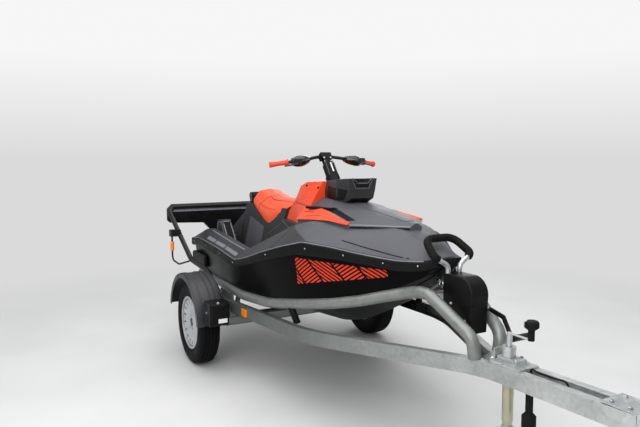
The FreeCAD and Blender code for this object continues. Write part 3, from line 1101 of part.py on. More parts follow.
drum_radius = mm("winch_drum") / 2
half_drum = mm("winch_half_width")
drum = fused([
    Part.makeCylinder(15, 2 * half_drum, V(winch_at.x, -half_drum, winch_at.z), Y_AXIS),
    Part.makeCylinder(drum_radius, 4, V(winch_at.x, -half_drum, winch_at.z), Y_AXIS),
    Part.makeCylinder(drum_radius, 4, V(winch_at.x, half_drum - 4, winch_at.z), Y_AXIS),
]).cut(Part.makeCylinder(8 + mm("bore_clearance"), 200, V(winch_at.x, -100, winch_at.z), Y_AXIS))
feature(in_trailer(drum), "winch_drum")

# Strap: wound on the drum, it runs up to a ring through the bow eye.
half_strap = mm("strap_width") / 2
wound_radius = drum_radius - 6
eye_here = V(eye_at.x - hull_x, 0, eye_at.z + mm("keel_height"))
pull = (winch_at - eye_here).normalize()
ring_at = eye_here + pull * 13
ring_axis = pull.cross(Y_AXIS).normalize()
strap_start = ring_at + pull * 15
reach = (strap_start - winch_at).Length
tangent = math.acos(wound_radius / reach)
toward_eye = math.atan2(strap_start.z - winch_at.z, strap_start.x - winch_at.x)
touch = winch_at + V(math.cos(toward_eye + tangent), 0, math.sin(toward_eye + tangent)) * (wound_radius - 1.5)
lead = (touch - strap_start)
strap_side = lead.cross(Y_AXIS).normalize() * (mm("strap_thickness") / 2)
strap_band = Part.Face(Part.makePolygon([
    strap_start - strap_side - V(0, half_strap, 0), touch - strap_side - V(0, half_strap, 0),
    touch + strap_side - V(0, half_strap, 0), strap_start + strap_side - V(0, half_strap, 0),
    strap_start - strap_side - V(0, half_strap, 0)])).extrude(V(0, 2 * half_strap, 0))
wound = Part.makeCylinder(wound_radius, 2 * half_strap, V(winch_at.x, -half_strap, winch_at.z), Y_AXIS).cut(
    Part.makeCylinder(15 + GAP, 2 * half_strap + 2, V(winch_at.x, -half_strap - 1, winch_at.z), Y_AXIS))
strap_ring = Part.makeTorus(12, 3, ring_at, ring_axis)
strap_hem = Part.makeCylinder(5, 2 * half_strap, strap_start - V(0, half_strap, 0) - pull * 1, Y_AXIS)
strap = fused([wound, strap_band, strap_ring, strap_hem])
feature(in_trailer(strap), "winch_strap")

# Crank: shaft through the side plates, a flat cranked lever and a round grip.
lever_y0 = mm("lever_y")
lever_y1 = lever_y0 + mm("lever_thickness")
lever_route = [V(mm("shaft_x"), lever_y0, mm("shaft_z")), V(mm("lever_bend_x"), lever_y0, mm("lever_bend_z")),
               V(mm("lever_end_x"), lever_y0, mm("lever_end_z"))]
lever_pieces = [Part.makeCylinder(mm("lever_bar") / 2, mm("lever_thickness"), p, Y_AXIS) for p in lever_route]
for first, last in zip(lever_route, lever_route[1:]):
    along = last - first
    half_bar = along.cross(Y_AXIS).normalize() * (mm("lever_bar") / 2)
    corners = [first - half_bar, last - half_bar, last + half_bar, first + half_bar, first - half_bar]
    lever_pieces.append(Part.Face(Part.makePolygon(corners)).extrude(V(0, mm("lever_thickness"), 0)))
shaft = Part.makeCylinder(shaft_radius, lever_y1 + plate_y1 + 4, V(mm("shaft_x"), -plate_y1 - 4, mm("shaft_z")), Y_AXIS)
grip_rod = Part.makeCylinder(mm("winch_grip_diameter") / 2, mm("winch_grip"), V(lever_route[2].x, lever_y1, lever_route[2].z), Y_AXIS)
grip_rod = grip_rod.makeFillet(5, [edge for edge in grip_rod.Edges if edge.BoundBox.YMin > lever_y1 + 1])
feature(in_trailer(fused(lever_pieces + [shaft, grip_rod])), "winch_crank")

# Winch cover: a thin moulded hood, open behind and below, rounded along its top and front.
cover_half = mm("cover_half")
cover_lean = math.atan2(mm("cover_front_x") - mm("cover_toe_x"), mm("cover_top_z") - mm("cover_toe_z"))
cover_front_line = V(-math.sin(cover_lean), 0, -math.cos(cover_lean))
cover_inward = V(-math.cos(cover_lean), 0, math.sin(cover_lean))


def cover_side(inset):
    """The cover's side outline, moved in by a wall thickness and drawn out past its open sides."""
    past = 3 * inset
    z_top = mm("cover_top_z") - inset
    foot = V(mm("cover_toe_x"), 0, mm("cover_toe_z")) + cover_inward * inset
    corner = foot - cover_front_line * ((z_top - foot.z) / math.cos(cover_lean))
    bend = mm("cover_round") - inset
    setback = bend * math.tan((math.pi / 2 - cover_lean) / 2)
    crown = corner - V(setback, 0, 0)
    brow = corner + cover_front_line * setback
    centre = crown - V(0, 0, bend)
    middle = centre + (corner - centre).normalize() * bend
    heel = V(mm("cover_rear_x") - past, 0, mm("cover_heel_z") - past)
    top = V(mm("cover_rear_x") - past, 0, z_top)
    toe = foot + cover_front_line * past
    edges = [Part.LineSegment(heel, top), Part.LineSegment(top, crown), Part.Arc(crown, middle, brow),
             Part.LineSegment(brow, toe), Part.LineSegment(toe, heel)]
    return Part.Face(Part.Wire([edge.toShape() for edge in edges]))


cover = cover_side(0).extrude(V(0, 2 * cover_half, 0)).translated(V(0, -cover_half, 0))
top_edges = [edge for edge in cover.Edges if abs(abs(edge.CenterOfMass.y) - cover_half) < 0.1
             and edge.CenterOfMass.x > mm("cover_rear_x") + 1 and edge.CenterOfMass.z > mm("cover_toe_z") + 60]
cover = cover.makeFillet(12, top_edges)
cover_inner = mm("cover_half") - mm("cover_wall")
hollow = cover_side(mm("cover_wall")).extrude(V(0, 2 * cover_inner, 0)).translated(V(0, -cover_inner, 0))
stop_radius = mm("stop_diameter") / 2
cover = cover.cut(hollow).cut(Part.makeCylinder(shaft_radius + 1, 80, V(mm("shaft_x"), 0, mm("shaft_z")), Y_AXIS))
for sign in (1, -1):
    cover = cover.cut(Part.makeCylinder(stop_radius + GAP, 60, V(mm("stop_x"), sign * mm("stop_y"), mm("cover_top_z") - 30), Z_AXIS))
feature(in_trailer(cover), "winch_cover")

# Bow stop: a hoop of tube that leans over the nose, wrapped in a foam sleeve.
stop_half = [
    V(mm("stop_x"), mm("stop_y"), bracket_z + 30 + GAP), V(mm("stop_x"), mm("stop_y"), mm("stop_neck_z")),
    V(mm("stop_waist_x"), mm("stop_waist_y"), mm("stop_waist_z")),
    V(mm("stop_top_x"), 0.75 * mm("stop_waist_y"), mm("stop_top_z")),
]
stop_route = stop_half + [V(p.x, -p.y, p.z) for p in reversed(stop_half)]
stop_radii = [40, 28, 60, 60, 28, 40]
bow_stop = rod(stop_route, stop_radii, mm("stop_diameter"), mm("stop_diameter") - 4)
feature(in_trailer(bow_stop), "bow_stop")
sleeve_half = [stop_half[1] + (stop_half[2] - stop_half[1]) * 0.7] + stop_half[2:]
sleeve_route = sleeve_half + [V(p.x, -p.y, p.z) for p in reversed(sleeve_half)]
sleeve = rod(sleeve_route, stop_radii[1:-1], mm("sleeve_diameter"), mm("stop_diameter") + 2 * GAP)
feature(in_trailer(sleeve), "stop_sleeve")

# Jockey wheel: outer tube in its clamp on the drawbar, inner leg, fork and wheel, with the crank on top.
jockey = V(mm("jockey_x"), 0, 0)
tube_radius = mm("jockey_tube") / 2
leg_radius = mm("jockey_leg") / 2
sleeve_low = mm("jockey_sleeve_low")
sleeve_top = mm("jockey_sleeve_top")


def on_jockey(radius, z0, z1, bore=0):
    post = Part.makeCylinder(radius, z1 - z0, V(jockey.x, 0, z0), Z_AXIS)
    return post.cut(Part.makeCylinder(bore, z1 - z0 + 2, V(jockey.x, 0, z0 - 1), Z_AXIS)) if bore else post


spindle_radius = 9
outer_tube = fused([
    on_jockey(tube_radius, sleeve_low, sleeve_top - 4, tube_radius - mm("jockey_wall")),
    on_jockey(tube_radius + 6, sleeve_top - 44, sleeve_top, spindle_radius + 1),
])
feature(in_trailer(outer_tube), "jockey_tube")
knob_x = jockey.x + mm("crank_arm")
knob_radius = mm("knob_diameter") / 2
crank_z = mm("crank_z")
crank = fused([
    on_jockey(spindle_radius, sleeve_top - 30, crank_z + 6),
    on_jockey(13, sleeve_top + 1, crank_z - 3),
    box(jockey.x - 10, knob_x + 8, -8, 8, crank_z, crank_z + 4),
])
knob = fused([
    Part.makeCylinder(14, 44, V(knob_x, 0, crank_z), Z_AXIS),
    Part.makeCone(14, knob_radius, 14, V(knob_x, 0, crank_z + 44), Z_AXIS),
    Part.makeCylinder(knob_radius, 28, V(knob_x, 0, crank_z + 58), Z_AXIS),
])
knob = knob.makeFillet(12, [edge for edge in knob.Edges if edge.BoundBox.ZMin > crank_z + 85])
feature(in_trailer(crank.fuse(knob)), "jockey_crank")

clamp_low = beam_z(mm("clamp_rear_x")) + beam_height / 2
clamp_top = mm("clamp_top_z")
jaw = mm("clamp_half")
jockey_clamp = fused([
    box(mm("clamp_rear_x"), mm("clamp_front_x"), -jaw - 20, jaw + 20, clamp_low - 4, clamp_low + 14),
    box(jockey.x - tube_radius - 14, mm("clamp_front_x") - 40, -jaw + 8, jaw - 8, clamp_low, clamp_top - 30),
    box(mm("clamp_rear_x"), mm("clamp_rear_x") + 8, -jaw, jaw, clamp_low, clamp_top),
    upright([(mm("clamp_rear_x") - 70, clamp_low), (mm("clamp_rear_x") + 8, clamp_top - 6),
             (mm("clamp_rear_x") + 8, clamp_low)], -jaw, -jaw + 6),
    upright([(mm("clamp_rear_x") - 70, clamp_low), (mm("clamp_rear_x") + 8, clamp_top - 6),
             (mm("clamp_rear_x") + 8, clamp_low)], jaw - 6, jaw),
]).cut(on_jockey(tube_radius + GAP, 300, sleeve_top - 44)).cut(on_jockey(tube_radius + 6 + GAP, sleeve_top - 44, 700))
jockey_clamp = jockey_clamp.cut(beam_room).cut(mirrored(beam_room))
jockey_clamp = max(jockey_clamp.Solids, key=lambda solid: solid.Volume)
feature(in_trailer(jockey_clamp), "jockey_clamp")

fork_top = mm("fork_top_z")
jockey_leg = on_jockey(leg_radius, fork_top + 14 + GAP, sleeve_top - 80, leg_radius - mm("jockey_wall"))
feature(in_trailer(jockey_leg), "jockey_leg")
wheel_x = jockey.x - mm("jockey_trail")
jockey_radius = mm("jockey_wheel")
half_gap = mm("fork_gap") / 2
fork_y1 = half_gap + mm("fork_plate")
fork_side = upright([(wheel_x - 20, jockey_radius - 16), (wheel_x + 20, jockey_radius - 16),
                     (jockey.x + 26, fork_top), (jockey.x - 30, fork_top)], half_gap, fork_y1)
fork = fused([
    fork_side, mirrored(fork_side), box(jockey.x - 30, jockey.x + 26, -fork_y1, fork_y1, fork_top - 6, fork_top),
    on_jockey(leg_radius - mm("jockey_wall") - mm("bore_clearance"), fork_top - 1, fork_top + 26),
    on_jockey(24, fork_top - 1, fork_top + 13),
    Part.makeCylinder(7, 2 * fork_y1 + 8, V(wheel_x, -fork_y1 - 4, jockey_radius), Y_AXIS),
])
feature(in_trailer(fork), "jockey_fork")
half_jockey = mm("jockey_wheel_width") / 2
tyre_edge = [(half_jockey - 10, 62), (half_jockey, 78), (half_jockey - 4, 92), (half_jockey - 16, jockey_radius)]
jockey_tyre = ring_of(tyre_edge + [(-y, r) for y, r in reversed(tyre_edge)])
jockey_rim = ring_of([
    (half_jockey + 3, 7 + mm("bore_clearance")), (half_jockey + 3, 20), (6, 24), (6, 52), (half_jockey - 10, 61.7),
    (-half_jockey + 10, 61.7), (-6, 52), (-6, 24), (-half_jockey - 3, 20), (-half_jockey - 3, 7 + mm("bore_clearance")),
])
jockey_axle = V(wheel_x, 0, jockey_radius)
feature(in_trailer(jockey_tyre.translated(jockey_axle)), "jockey_tyre")
feature(in_trailer(jockey_rim.translated(jockey_axle)), "jockey_rim")

# Coupler: plate over the drawbar's end, a tapered head with the ball socket below and its lift handle.
coupler_rear = mm("coupler_rear_x")
coupler_tip = mm("coupler_tip_x")
beam_end_top = beam_z(mm("beam_tip_x")) + beam_height / 2 + GAP
beam_outer = mm("beam_nose_y") + mm("beam_width") / 2
ball_radius = mm("ball_bore") / 2
head_half = mm("coupler_width") / 2
head_z0 = mm("coupler_z") - mm("coupler_height") / 2


def head_face(x, half, z0, z1):
    corners = [V(x, -half, z0), V(x, half, z0), V(x, half, z1), V(x, -half, z1)]
    return Part.makePolygon(corners + corners[:1])


neck_x = mm("beam_tip_x") + GAP
neck = Part.makeLoft([head_face(neck_x, beam_outer, head_z0 + 6, beam_end_top + 5),
                      head_face(mm("ball_x") - 30, head_half, head_z0, head_z0 + mm("coupler_height"))], True, True)
head_x0 = mm("ball_x") - 31
round_x = coupler_tip - head_half
head_wire = Part.Wire([edge.toShape() for edge in (
    Part.LineSegment(V(head_x0, -head_half, head_z0), V(round_x, -head_half, head_z0)),
    Part.Arc(V(round_x, -head_half, head_z0), V(coupler_tip, 0, head_z0), V(round_x, head_half, head_z0)),
    Part.LineSegment(V(round_x, head_half, head_z0), V(head_x0, head_half, head_z0)),
    Part.LineSegment(V(head_x0, head_half, head_z0), V(head_x0, -head_half, head_z0)),
)])
nose = Part.Face(head_wire).extrude(V(0, 0, mm("coupler_height")))
cover_plate = box(coupler_rear, neck_x + 2, -beam_outer, beam_outer, beam_end_top, beam_end_top + 5)
coupler = fused([neck, nose, cover_plate])
socket = Part.makeCylinder(ball_radius, mm("ball_depth") - ball_radius + 5, V(mm("ball_x"), 0, head_z0 - 5), Z_AXIS)
socket = socket.fuse(Part.makeSphere(ball_radius, V(mm("ball_x"), 0, head_z0 + mm("ball_depth") - ball_radius)))
feature(in_trailer(coupler.cut(socket)), "coupler_head")
handle_top = head_z0 + mm("coupler_height") + GAP
coupler_handle = fused([
    box(mm("ball_x") - 60, mm("ball_x") + 10, -14, 14, handle_top, handle_top + 12),
    rod([V(mm("ball_x") + 4, 0, handle_top + 6), V(mm("ball_x") + 4, 0, handle_top + 44),
         V(mm("ball_x") - 96, 0, handle_top + 52)], [14], 16),
])
feature(in_trailer(coupler_handle), "coupler_handle")

# Light cable: it loops over the starboard beam between two clips, and its plug is parked in the rear one.
plug_x = mm("plug_x")
clip_x = mm("clip_x")
plug_radius = mm("plug_diameter") / 2
neck_radius = mm("plug_neck") / 2
plug_top = mm("plug_low_z") + mm("plug_height")
clip_half = mm("beam_nose_y") - mm("beam_width") / 2 - GAP


def beam_clip(x):
    """A block seated between the bottom flanges of the two beams."""
    low = beam_z(x) - beam_height / 2 - 2
    return box(x - 18, x + 18, -clip_half, clip_half, low, low + 10)


def over_beam(x, y):
    return V(x, y, beam_z(x) + beam_height / 2 + mm("cable_lift"))


cable_points = [V(plug_x, 0, beam_z(plug_x) - 30), over_beam(plug_x + 8, -4), over_beam(plug_x + 55, -24),
                over_beam(clip_x - 80, -28), over_beam(clip_x - 22, -16), V(clip_x, 0, beam_z(clip_x) - 30)]
light_cable = fused([
    beam_clip(plug_x), beam_clip(clip_x), rod(cable_points, [20, 40, 60, 25], mm("cable_diameter")),
    Part.makeCylinder(neck_radius, beam_z(plug_x) - beam_height / 2 - plug_top, V(plug_x, 0, plug_top), Z_AXIS),
    Part.makeCone(plug_radius, neck_radius, 16, V(plug_x, 0, plug_top), Z_AXIS),
    Part.makeCylinder(plug_radius, mm("plug_height"), V(plug_x, 0, mm("plug_low_z")), Z_AXIS),
])
feature(in_trailer(light_cable), "light_cable")

doc.recompute()
for thing in doc.Objects:
    if any(state in ("Invalid", "Error") for state in thing.State):
        raise RuntimeError("%s did not recompute" % thing.Name)
for label, thing in parts.items():
    if thing.Shape.isNull() or not thing.Shape.isValid() or not thing.Shape.Solids:
        raise RuntimeError("%s has no valid solid" % label)
os.makedirs("parts", exist_ok=True)
for label, thing in parts.items():
    thing.Shape.exportStep("parts/%s.step" % label)
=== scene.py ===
import bpy
import bmesh
import json
import math
from mathutils import Matrix, Vector
from mathutils.bvhtree import BVHTree

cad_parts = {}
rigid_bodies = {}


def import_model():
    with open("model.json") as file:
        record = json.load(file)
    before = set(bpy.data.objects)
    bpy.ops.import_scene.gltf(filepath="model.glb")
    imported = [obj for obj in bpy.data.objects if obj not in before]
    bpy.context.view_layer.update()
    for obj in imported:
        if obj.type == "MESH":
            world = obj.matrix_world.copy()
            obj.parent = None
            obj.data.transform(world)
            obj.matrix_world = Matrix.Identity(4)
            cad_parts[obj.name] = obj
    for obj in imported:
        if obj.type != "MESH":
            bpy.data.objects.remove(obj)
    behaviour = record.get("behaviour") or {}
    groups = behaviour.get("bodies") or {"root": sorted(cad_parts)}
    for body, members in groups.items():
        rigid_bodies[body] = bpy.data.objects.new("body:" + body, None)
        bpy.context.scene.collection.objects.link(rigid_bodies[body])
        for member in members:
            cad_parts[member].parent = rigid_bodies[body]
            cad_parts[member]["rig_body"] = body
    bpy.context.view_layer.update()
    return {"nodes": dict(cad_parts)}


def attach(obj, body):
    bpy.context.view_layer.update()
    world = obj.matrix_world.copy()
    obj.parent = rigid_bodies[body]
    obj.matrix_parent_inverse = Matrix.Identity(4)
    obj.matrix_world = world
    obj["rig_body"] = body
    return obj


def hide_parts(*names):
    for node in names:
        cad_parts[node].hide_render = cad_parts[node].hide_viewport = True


# A two-seat personal watercraft on its road trailer. Metres, +X to the bow, +Y to port, +Z up.
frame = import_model()
nodes = frame["nodes"]
print("frame loaded:", len(nodes), "nodes")

axleX = -0.915
# stern and keel line
craftOrigin = Vector((axleX - 0.93, 0, 0.37))
sides = ((1, "Port"), (-1, "Starboard"))


def craft(x, y, z):
    return craftOrigin + Vector((x, y, z)) / 1000


def trailer(x, y, z):
    return Vector((axleX + x / 1000, y / 1000, z / 1000))


# Camera, floor and light
view = {
    "place": (3.045, -1.935, 1.419), "azimuth": 60.934, "down": 5.305, "roll": -0.164, "lens": 33.15,
    "floorSize": 60, "floorColour": "d5d5d4", "floorPatch": "cbcbcb", "hazeColour": "dadadb",
    "wallColour": "dadadb", "ceilingColour": "f6f6f6", "fill": 0.62,
}
# Square light panels: name, place, aim, width in metres, power in watts
panels = (("ceilingPanel", (0.5, -0.6, 4.2), (0.2, 0, 0.5), 5.5, 190),
          ("frontPanel", (3.4, -3.6, 2.8), (0.3, 0, 0.7), 2.8, 120),
          ("rearPanel", (-3.2, 2.6, 2.6), (0, 0, 0.8), 2.4, 45))


def linear(hexColour):
    parts = [int(hexColour[i:i + 2], 16) / 255 for i in (0, 2, 4)]
    return tuple(c / 12.92 if c <= 0.04045 else ((c + 0.055) / 1.055) ** 2.4 for c in parts) + (1.0,)


def addNode(tree, kind, settings=None, links=None):
    # settings: properties by name, input values by number or name, or a ramp's stops
    # links: input to (node, output)
    node = tree.nodes.new(kind)
    for key, value in (settings or {}).items():
        if key == "stops":
            for element, (place, colour) in zip(node.color_ramp.elements, value):
                element.position = place
                element.color = linear(colour)
        elif isinstance(key, int) or key in node.inputs:
            node.inputs[key].default_value = value
        else:
            setattr(node, key, value)
    for key, (source, output) in (links or {}).items():
        tree.links.new(source.outputs[output], node.inputs[key])
    return node


def newMaterial(name):
    # an empty material with the coordinates that its textures follow
    material = bpy.data.materials.new(name)
    material.use_nodes = True
    tree = material.node_tree
    tree.nodes.clear()
    return material, tree, addNode(tree, "ShaderNodeTexCoord")


def inScene(name, data):
    item = bpy.data.objects.new(name, data)
    bpy.context.scene.collection.objects.link(item)
    return item


def lookAlong(item, place, way):
    item.location = place
    item.rotation_mode = "QUATERNION"
    item.rotation_quaternion = way.to_track_quat("-Z", "Y")


def setUpView():
    camera = inScene("camera", bpy.data.cameras.new("camera"))
    turn, down, roll = (math.radians(view[k]) for k in ("azimuth", "down", "roll"))
    ahead = Vector((-math.sin(turn) * math.cos(down), math.cos(turn) * math.cos(down), -math.sin(down)))
    lookAlong(camera, view["place"], ahead)
    camera.rotation_quaternion @= Matrix.Rotation(roll, 4, "Z").to_quaternion()
    camera.data.lens = view["lens"]
    camera.data.sensor_width = 36
    camera.data.clip_end = 200
    bpy.context.scene.camera = camera
    bpy.context.scene.view_settings.view_transform = "Standard"

    # painted concrete, matt and faintly patchy
    paint, tree, place = newMaterial("paintedConcreteFloor")
    cloud = addNode(tree, "ShaderNodeTexNoise", {"Scale": 1.4, "Detail": 5.0}, {"Vector": (place, "Object")})
    tone = addNode(tree, "ShaderNodeValToRGB",
                   {"stops": [(0.3, view["floorColour"]), (0.75, view["floorPatch"])]}, {0: (cloud, "Fac")})
    floorShader = addNode(tree, "ShaderNodeBsdfPrincipled", {"Roughness": 0.75},
                          {"Base Color": (tone, "Color")})
    haze = addNode(tree, "ShaderNodeEmission", {"Color": linear(view["hazeColour"]), "Strength": 1.0})
    reach = addNode(tree, "ShaderNodeVectorMath", {"operation": "LENGTH"}, {0: (place, "Object")})
    fade = addNode(tree, "ShaderNodeMapRange",
                   {"interpolation_type": "SMOOTHSTEP", "From Min": 1.9, "From Max": 5.2},
                   {"Value": (reach, "Value")})
    seen = addNode(tree, "ShaderNodeLightPath")
    share = addNode(tree, "ShaderNodeMath", {"operation": "MULTIPLY"},
                    {0: (fade, "Result"), 1: (seen, "Is Camera Ray")})
    floorMix = addNode(tree, "ShaderNodeMixShader", {},
                       {0: (share, "Value"), 1: (floorShader, "BSDF"), 2: (haze, "Emission")})
    addNode(tree, "ShaderNodeOutputMaterial", links={"Surface": (floorMix, "Shader")})
    floorMesh = bpy.data.meshes.new("floor")
    half = view["floorSize"] / 2
    corners = [(-half, -half, 0), (half, -half, 0), (half, half, 0), (-half, half, 0)]
    floorMesh.from_pydata(corners, [], [(0, 1, 2, 3)])
    floorMesh.materials.append(paint)
    floor = inScene("floor", floorMesh)

    world = bpy.data.worlds.new("studio")
    world.use_nodes = True
    bpy.context.scene.world = world
    tree = world.node_tree
    tree.nodes.clear()
    seen = addNode(tree, "ShaderNodeLightPath")
    way = addNode(tree, "ShaderNodeTexCoord")
    height = addNode(tree, "ShaderNodeSeparateXYZ", links={0: (way, "Generated")})
    stops = [(0.0, view["wallColour"]), (0.16, view["ceilingColour"])]
    shade = addNode(tree, "ShaderNodeValToRGB", {"stops": stops}, {0: (height, "Z")})
    wall = addNode(tree, "ShaderNodeBackground", {"Strength": 1.0}, {"Color": (shade, "Color")})
    fill = addNode(tree, "ShaderNodeBackground", {"Color": linear("eef0f2"), "Strength": view["fill"]})
    pick = addNode(tree, "ShaderNodeMixShader", {},
                   {0: (seen, "Is Camera Ray"), 1: (fill, "Background"), 2: (wall, "Background")})
    addNode(tree, "ShaderNodeOutputWorld", links={"Surface": (pick, "Shader")})
    for name, place, aim, size, power in panels:
        lamp = inScene(name, bpy.data.lights.new(name, "AREA"))
        lamp.data.size = size
        lamp.data.energy = power
        lookAlong(lamp, place, Vector(aim) - Vector(place))


setUpView()
print("view and light ready")

# Finishes: base and patch colours, patch size, grain size and grain depth in mm, roughness range, metal,
# slot and specular level
finishes = {
    # gelcoat over glass fibre, polished, so it reflects softly with hardly any grain
    "gelcoatBlack": ("040405", "070708", 220, 40, 0.02, (0.28, 0.36), 0, "black_hull_plastic", 0.06),
    # polypropylene moulded with a fine spark-eroded grain, matt and a little violet
    "mouldedDeckGrey": ("434349", "4b4b52", 160, 2.6, 0.10, (0.46, 0.58), 0, "grey_deck_plastic", 0.45),
    # the same moulding in its darker tone, used round the footwells
    "mouldedDeckDark": ("202023", "29292c", 120, 2.6, 0.12, (0.50, 0.62), 0, "grey_deck_plastic", 0.35),
    # the same moulding in its lighter tone, for strips and pads, and laid along edges as a painted highlight
    "mouldedTrimGrey": ("686970", "74767c", 120, 2.6, 0.10, (0.48, 0.60), 0, "grey_deck_plastic", 0.5),
    # thermoplastic rubber extrusion, dull black
    "extrudedBumper": ("0b0b0c", "101011", 90, 2.0, 0.06, (0.46, 0.58), 0, "black_bumper_rubber", 0.14),
    # ABS moulded satin black
    "mouldedBlack": ("080809", "0d0d0e", 110, 2.2, 0.08, (0.34, 0.46), 0, "black_plastic", 0.14),
    # ABS with a satin face, its black painted lighter as painted light
    "satinBlack": ("1b1b1e", "242428", 110, 2.2, 0.08, (0.36, 0.46), 0, "black_plastic", 0.5),
    # ABS with a polished face
    "glossBlack": ("0b0b0c", "0f0f10", 110, 12, 0.02, (0.14, 0.22), 0, "black_plastic", 0.6),
    # coloured through polypropylene, bright and half matt
    "mouldedOrange": ("e5421a", "ea4c22", 150, 2.4, 0.07, (0.34, 0.46), 0, "orange_plastic", 0.5),
    # painted shade: the same polypropylene darkened where it folds in
    "orangeShade": ("a83312", "b23c18", 90, 2.4, 0.07, (0.40, 0.52), 0, "orange_plastic", 0.3),
    # marine vinyl over foam, with a fine leather-like emboss
    "marineVinyl": ("e4471a", "ec5322", 90, 3.0, 0.30, (0.36, 0.48), 0, "orange_vinyl", 0.7),
    # bonded polyester thread
    "marineThread": ("8f2d14", "9c3519", 30, 1.0, 0.05, (0.60, 0.75), 0, "orange_vinyl", 0.3),
    # EPDM rubber moulding, dull
    "mouldedRubber": ("0b0b0c", "121213", 60, 2.0, 0.15, (0.62, 0.78), 0, "black_rubber", 0.16),
    # coloured thermoplastic rubber
    "gripRubberOrange": ("d6401f", "de4c28", 40, 1.6, 0.12, (0.55, 0.68), 0, "orange_rubber"),
    # powder coat on steel, an even orange-peel skin
    "powderCoatBlack": ("0e0e0f", "141415", 70, 2.5, 0.09, (0.34, 0.44), 0, "black_paint", 0.35),
    # cast aluminium, anodised dark
    "castAluminium": ("56585c", "66686c", 45, 1.8, 0.10, (0.42, 0.55), 0.8, "dark_aluminium"),
    # stainless and bright zinc, rolled smooth
    "brushedStainless": ("b9bcc0", "c6c9cc", 40, 0.9, 0.02, (0.22, 0.34), 1, "stainless_steel"),
    "brightZinc": ("b4b8b8", "cdd0cf", 26, 3.0, 0.05, (0.30, 0.46), 0.85, "galvanised_steel"),
    # yellow-passivated zinc tube
    "passivatedZinc": ("a8a48c", "b8b49c", 50, 2.0, 0.03, (0.30, 0.42), 0.7, "galvanised_steel"),
    # wheel lacquer, aluminium flake in clear coat
    "wheelLacquer": ("aeb1b5", "bfc2c5", 35, 1.0, 0.02, (0.32, 0.42), 0.55, "silver_rim"),
    # closed-cell foam tube, soft and dull
    "closedCellFoam": ("09090a", "0f0f11", 24, 2.2, 0.25, (0.62, 0.78), 0, "black_rubber", 0.14),
    # vulcanised rubber with a light bloom of dust
    "tyreRubber": ("080809", "0e0e0f", 50, 2.4, 0.12, (0.60, 0.76), 0, "tyre_rubber", 0.12),
    # hot-dip zinc that has weathered dark
    "darkGalvanised": ("7c807d", "8b8f8b", 30, 3.0, 0.06, (0.42, 0.56), 0.65, "galvanised_steel"),
}
materials = {}


def endMaterial(name, slotName, material, values, links):
    # gives the material its surface and files it by name
    tree = material.node_tree
    shader = addNode(tree, "ShaderNodeBsdfPrincipled", values, links)
    addNode(tree, "ShaderNodeOutputMaterial", links={"Surface": (shader, "BSDF")})
    materials[name] = material


def makeFinish(name, base, patch, patchMm, grainMm, depthMm, rough, metal, slotName, specular=0.5):
    material, tree, place = newMaterial(name)
    cloud = addNode(tree, "ShaderNodeTexNoise", {"Scale": 1000 / patchMm, "Detail": 4.0},
                    {"Vector": (place, "Object")})
    tone = addNode(tree, "ShaderNodeValToRGB", {"stops": [(0.32, base), (0.70, patch)]}, {0: (cloud, "Fac")})
    fine = addNode(tree, "ShaderNodeTexNoise", {"Scale": 1000 / grainMm, "Detail": 2.0},
                   {"Vector": (place, "Object")})
    shine = addNode(tree, "ShaderNodeMapRange", {"From Min": 0.3, "From Max": 0.7, "To Min": rough[0],
                                                 "To Max": rough[1]}, {"Value": (cloud, "Fac")})
    bump = addNode(tree, "ShaderNodeBump", {"Strength": 0.6, "Distance": depthMm / 1000},
                   {"Height": (fine, "Fac")})
    endMaterial(name, slotName, material, {"Metallic": float(metal), "Specular IOR Level": specular},
                {"Base Color": (tone, "Color"), "Roughness": (shine, "Result"), "Normal": (bump, "Normal")})


for name, values in finishes.items():
    makeFinish(name, *values)


def galvanised():
    # hot-dip galvanised steel: interlocking zinc crystals, some duller than others, with a pale bloom
    material, tree, place = newMaterial("hotDipGalvanised")
    crystals = addNode(tree, "ShaderNodeTexVoronoi", {"Scale": 1000 / 16}, {"Vector": (place, "Object")})
    bloom = addNode(tree, "ShaderNodeTexNoise", {"Scale": 1000 / 130, "Detail": 6.0},
                    {"Vector": (place, "Object")})
    grey = addNode(tree, "ShaderNodeSeparateColor", links={0: (crystals, "Color")})
    crystalTone = addNode(tree, "ShaderNodeValToRGB", {"stops": [(0.0, "a4a8a7"), (1.0, "c2c6c5")]},
                          {0: (grey, 0)})
    bloomTone = addNode(tree, "ShaderNodeValToRGB", {"stops": [(0.35, "9a9e9d"), (0.7, "c8cccb")]},
                        {0: (bloom, "Fac")})
    tone = addNode(tree, "ShaderNodeMix", {"data_type": "RGBA", "Factor": 0.5},
                   {6: (crystalTone, "Color"), 7: (bloomTone, "Color")})
    # painted shade: the zinc is darkened from the drawbar back, under the craft
    apart = addNode(tree, "ShaderNodeSeparateXYZ", links={0: (place, "Object")})
    underCraftShade = addNode(tree, "ShaderNodeMapRange",
                     {"From Min": 0.2, "From Max": 1.5, "To Min": 0.9, "To Max": 0.0},
                     {"Value": (apart, "X")})
    shadedZinc = addNode(tree, "ShaderNodeMix", {"data_type": "RGBA", 7: linear("5e6361")},
                   {0: (underCraftShade, "Result"), 6: (tone, 2)})
    shine = addNode(tree, "ShaderNodeMapRange", {"To Min": 0.40, "To Max": 0.60}, {"Value": (grey, 1)})
    bump = addNode(tree, "ShaderNodeBump", {"Strength": 0.35, "Distance": 0.0004}, {"Height": (bloom, "Fac")})
    endMaterial("hotDipGalvanised", "galvanised_steel", material, {"Metallic": 0.55},
                {"Base Color": (shadedZinc, 2), "Roughness": (shine, "Result"), "Normal": (bump, "Normal")})


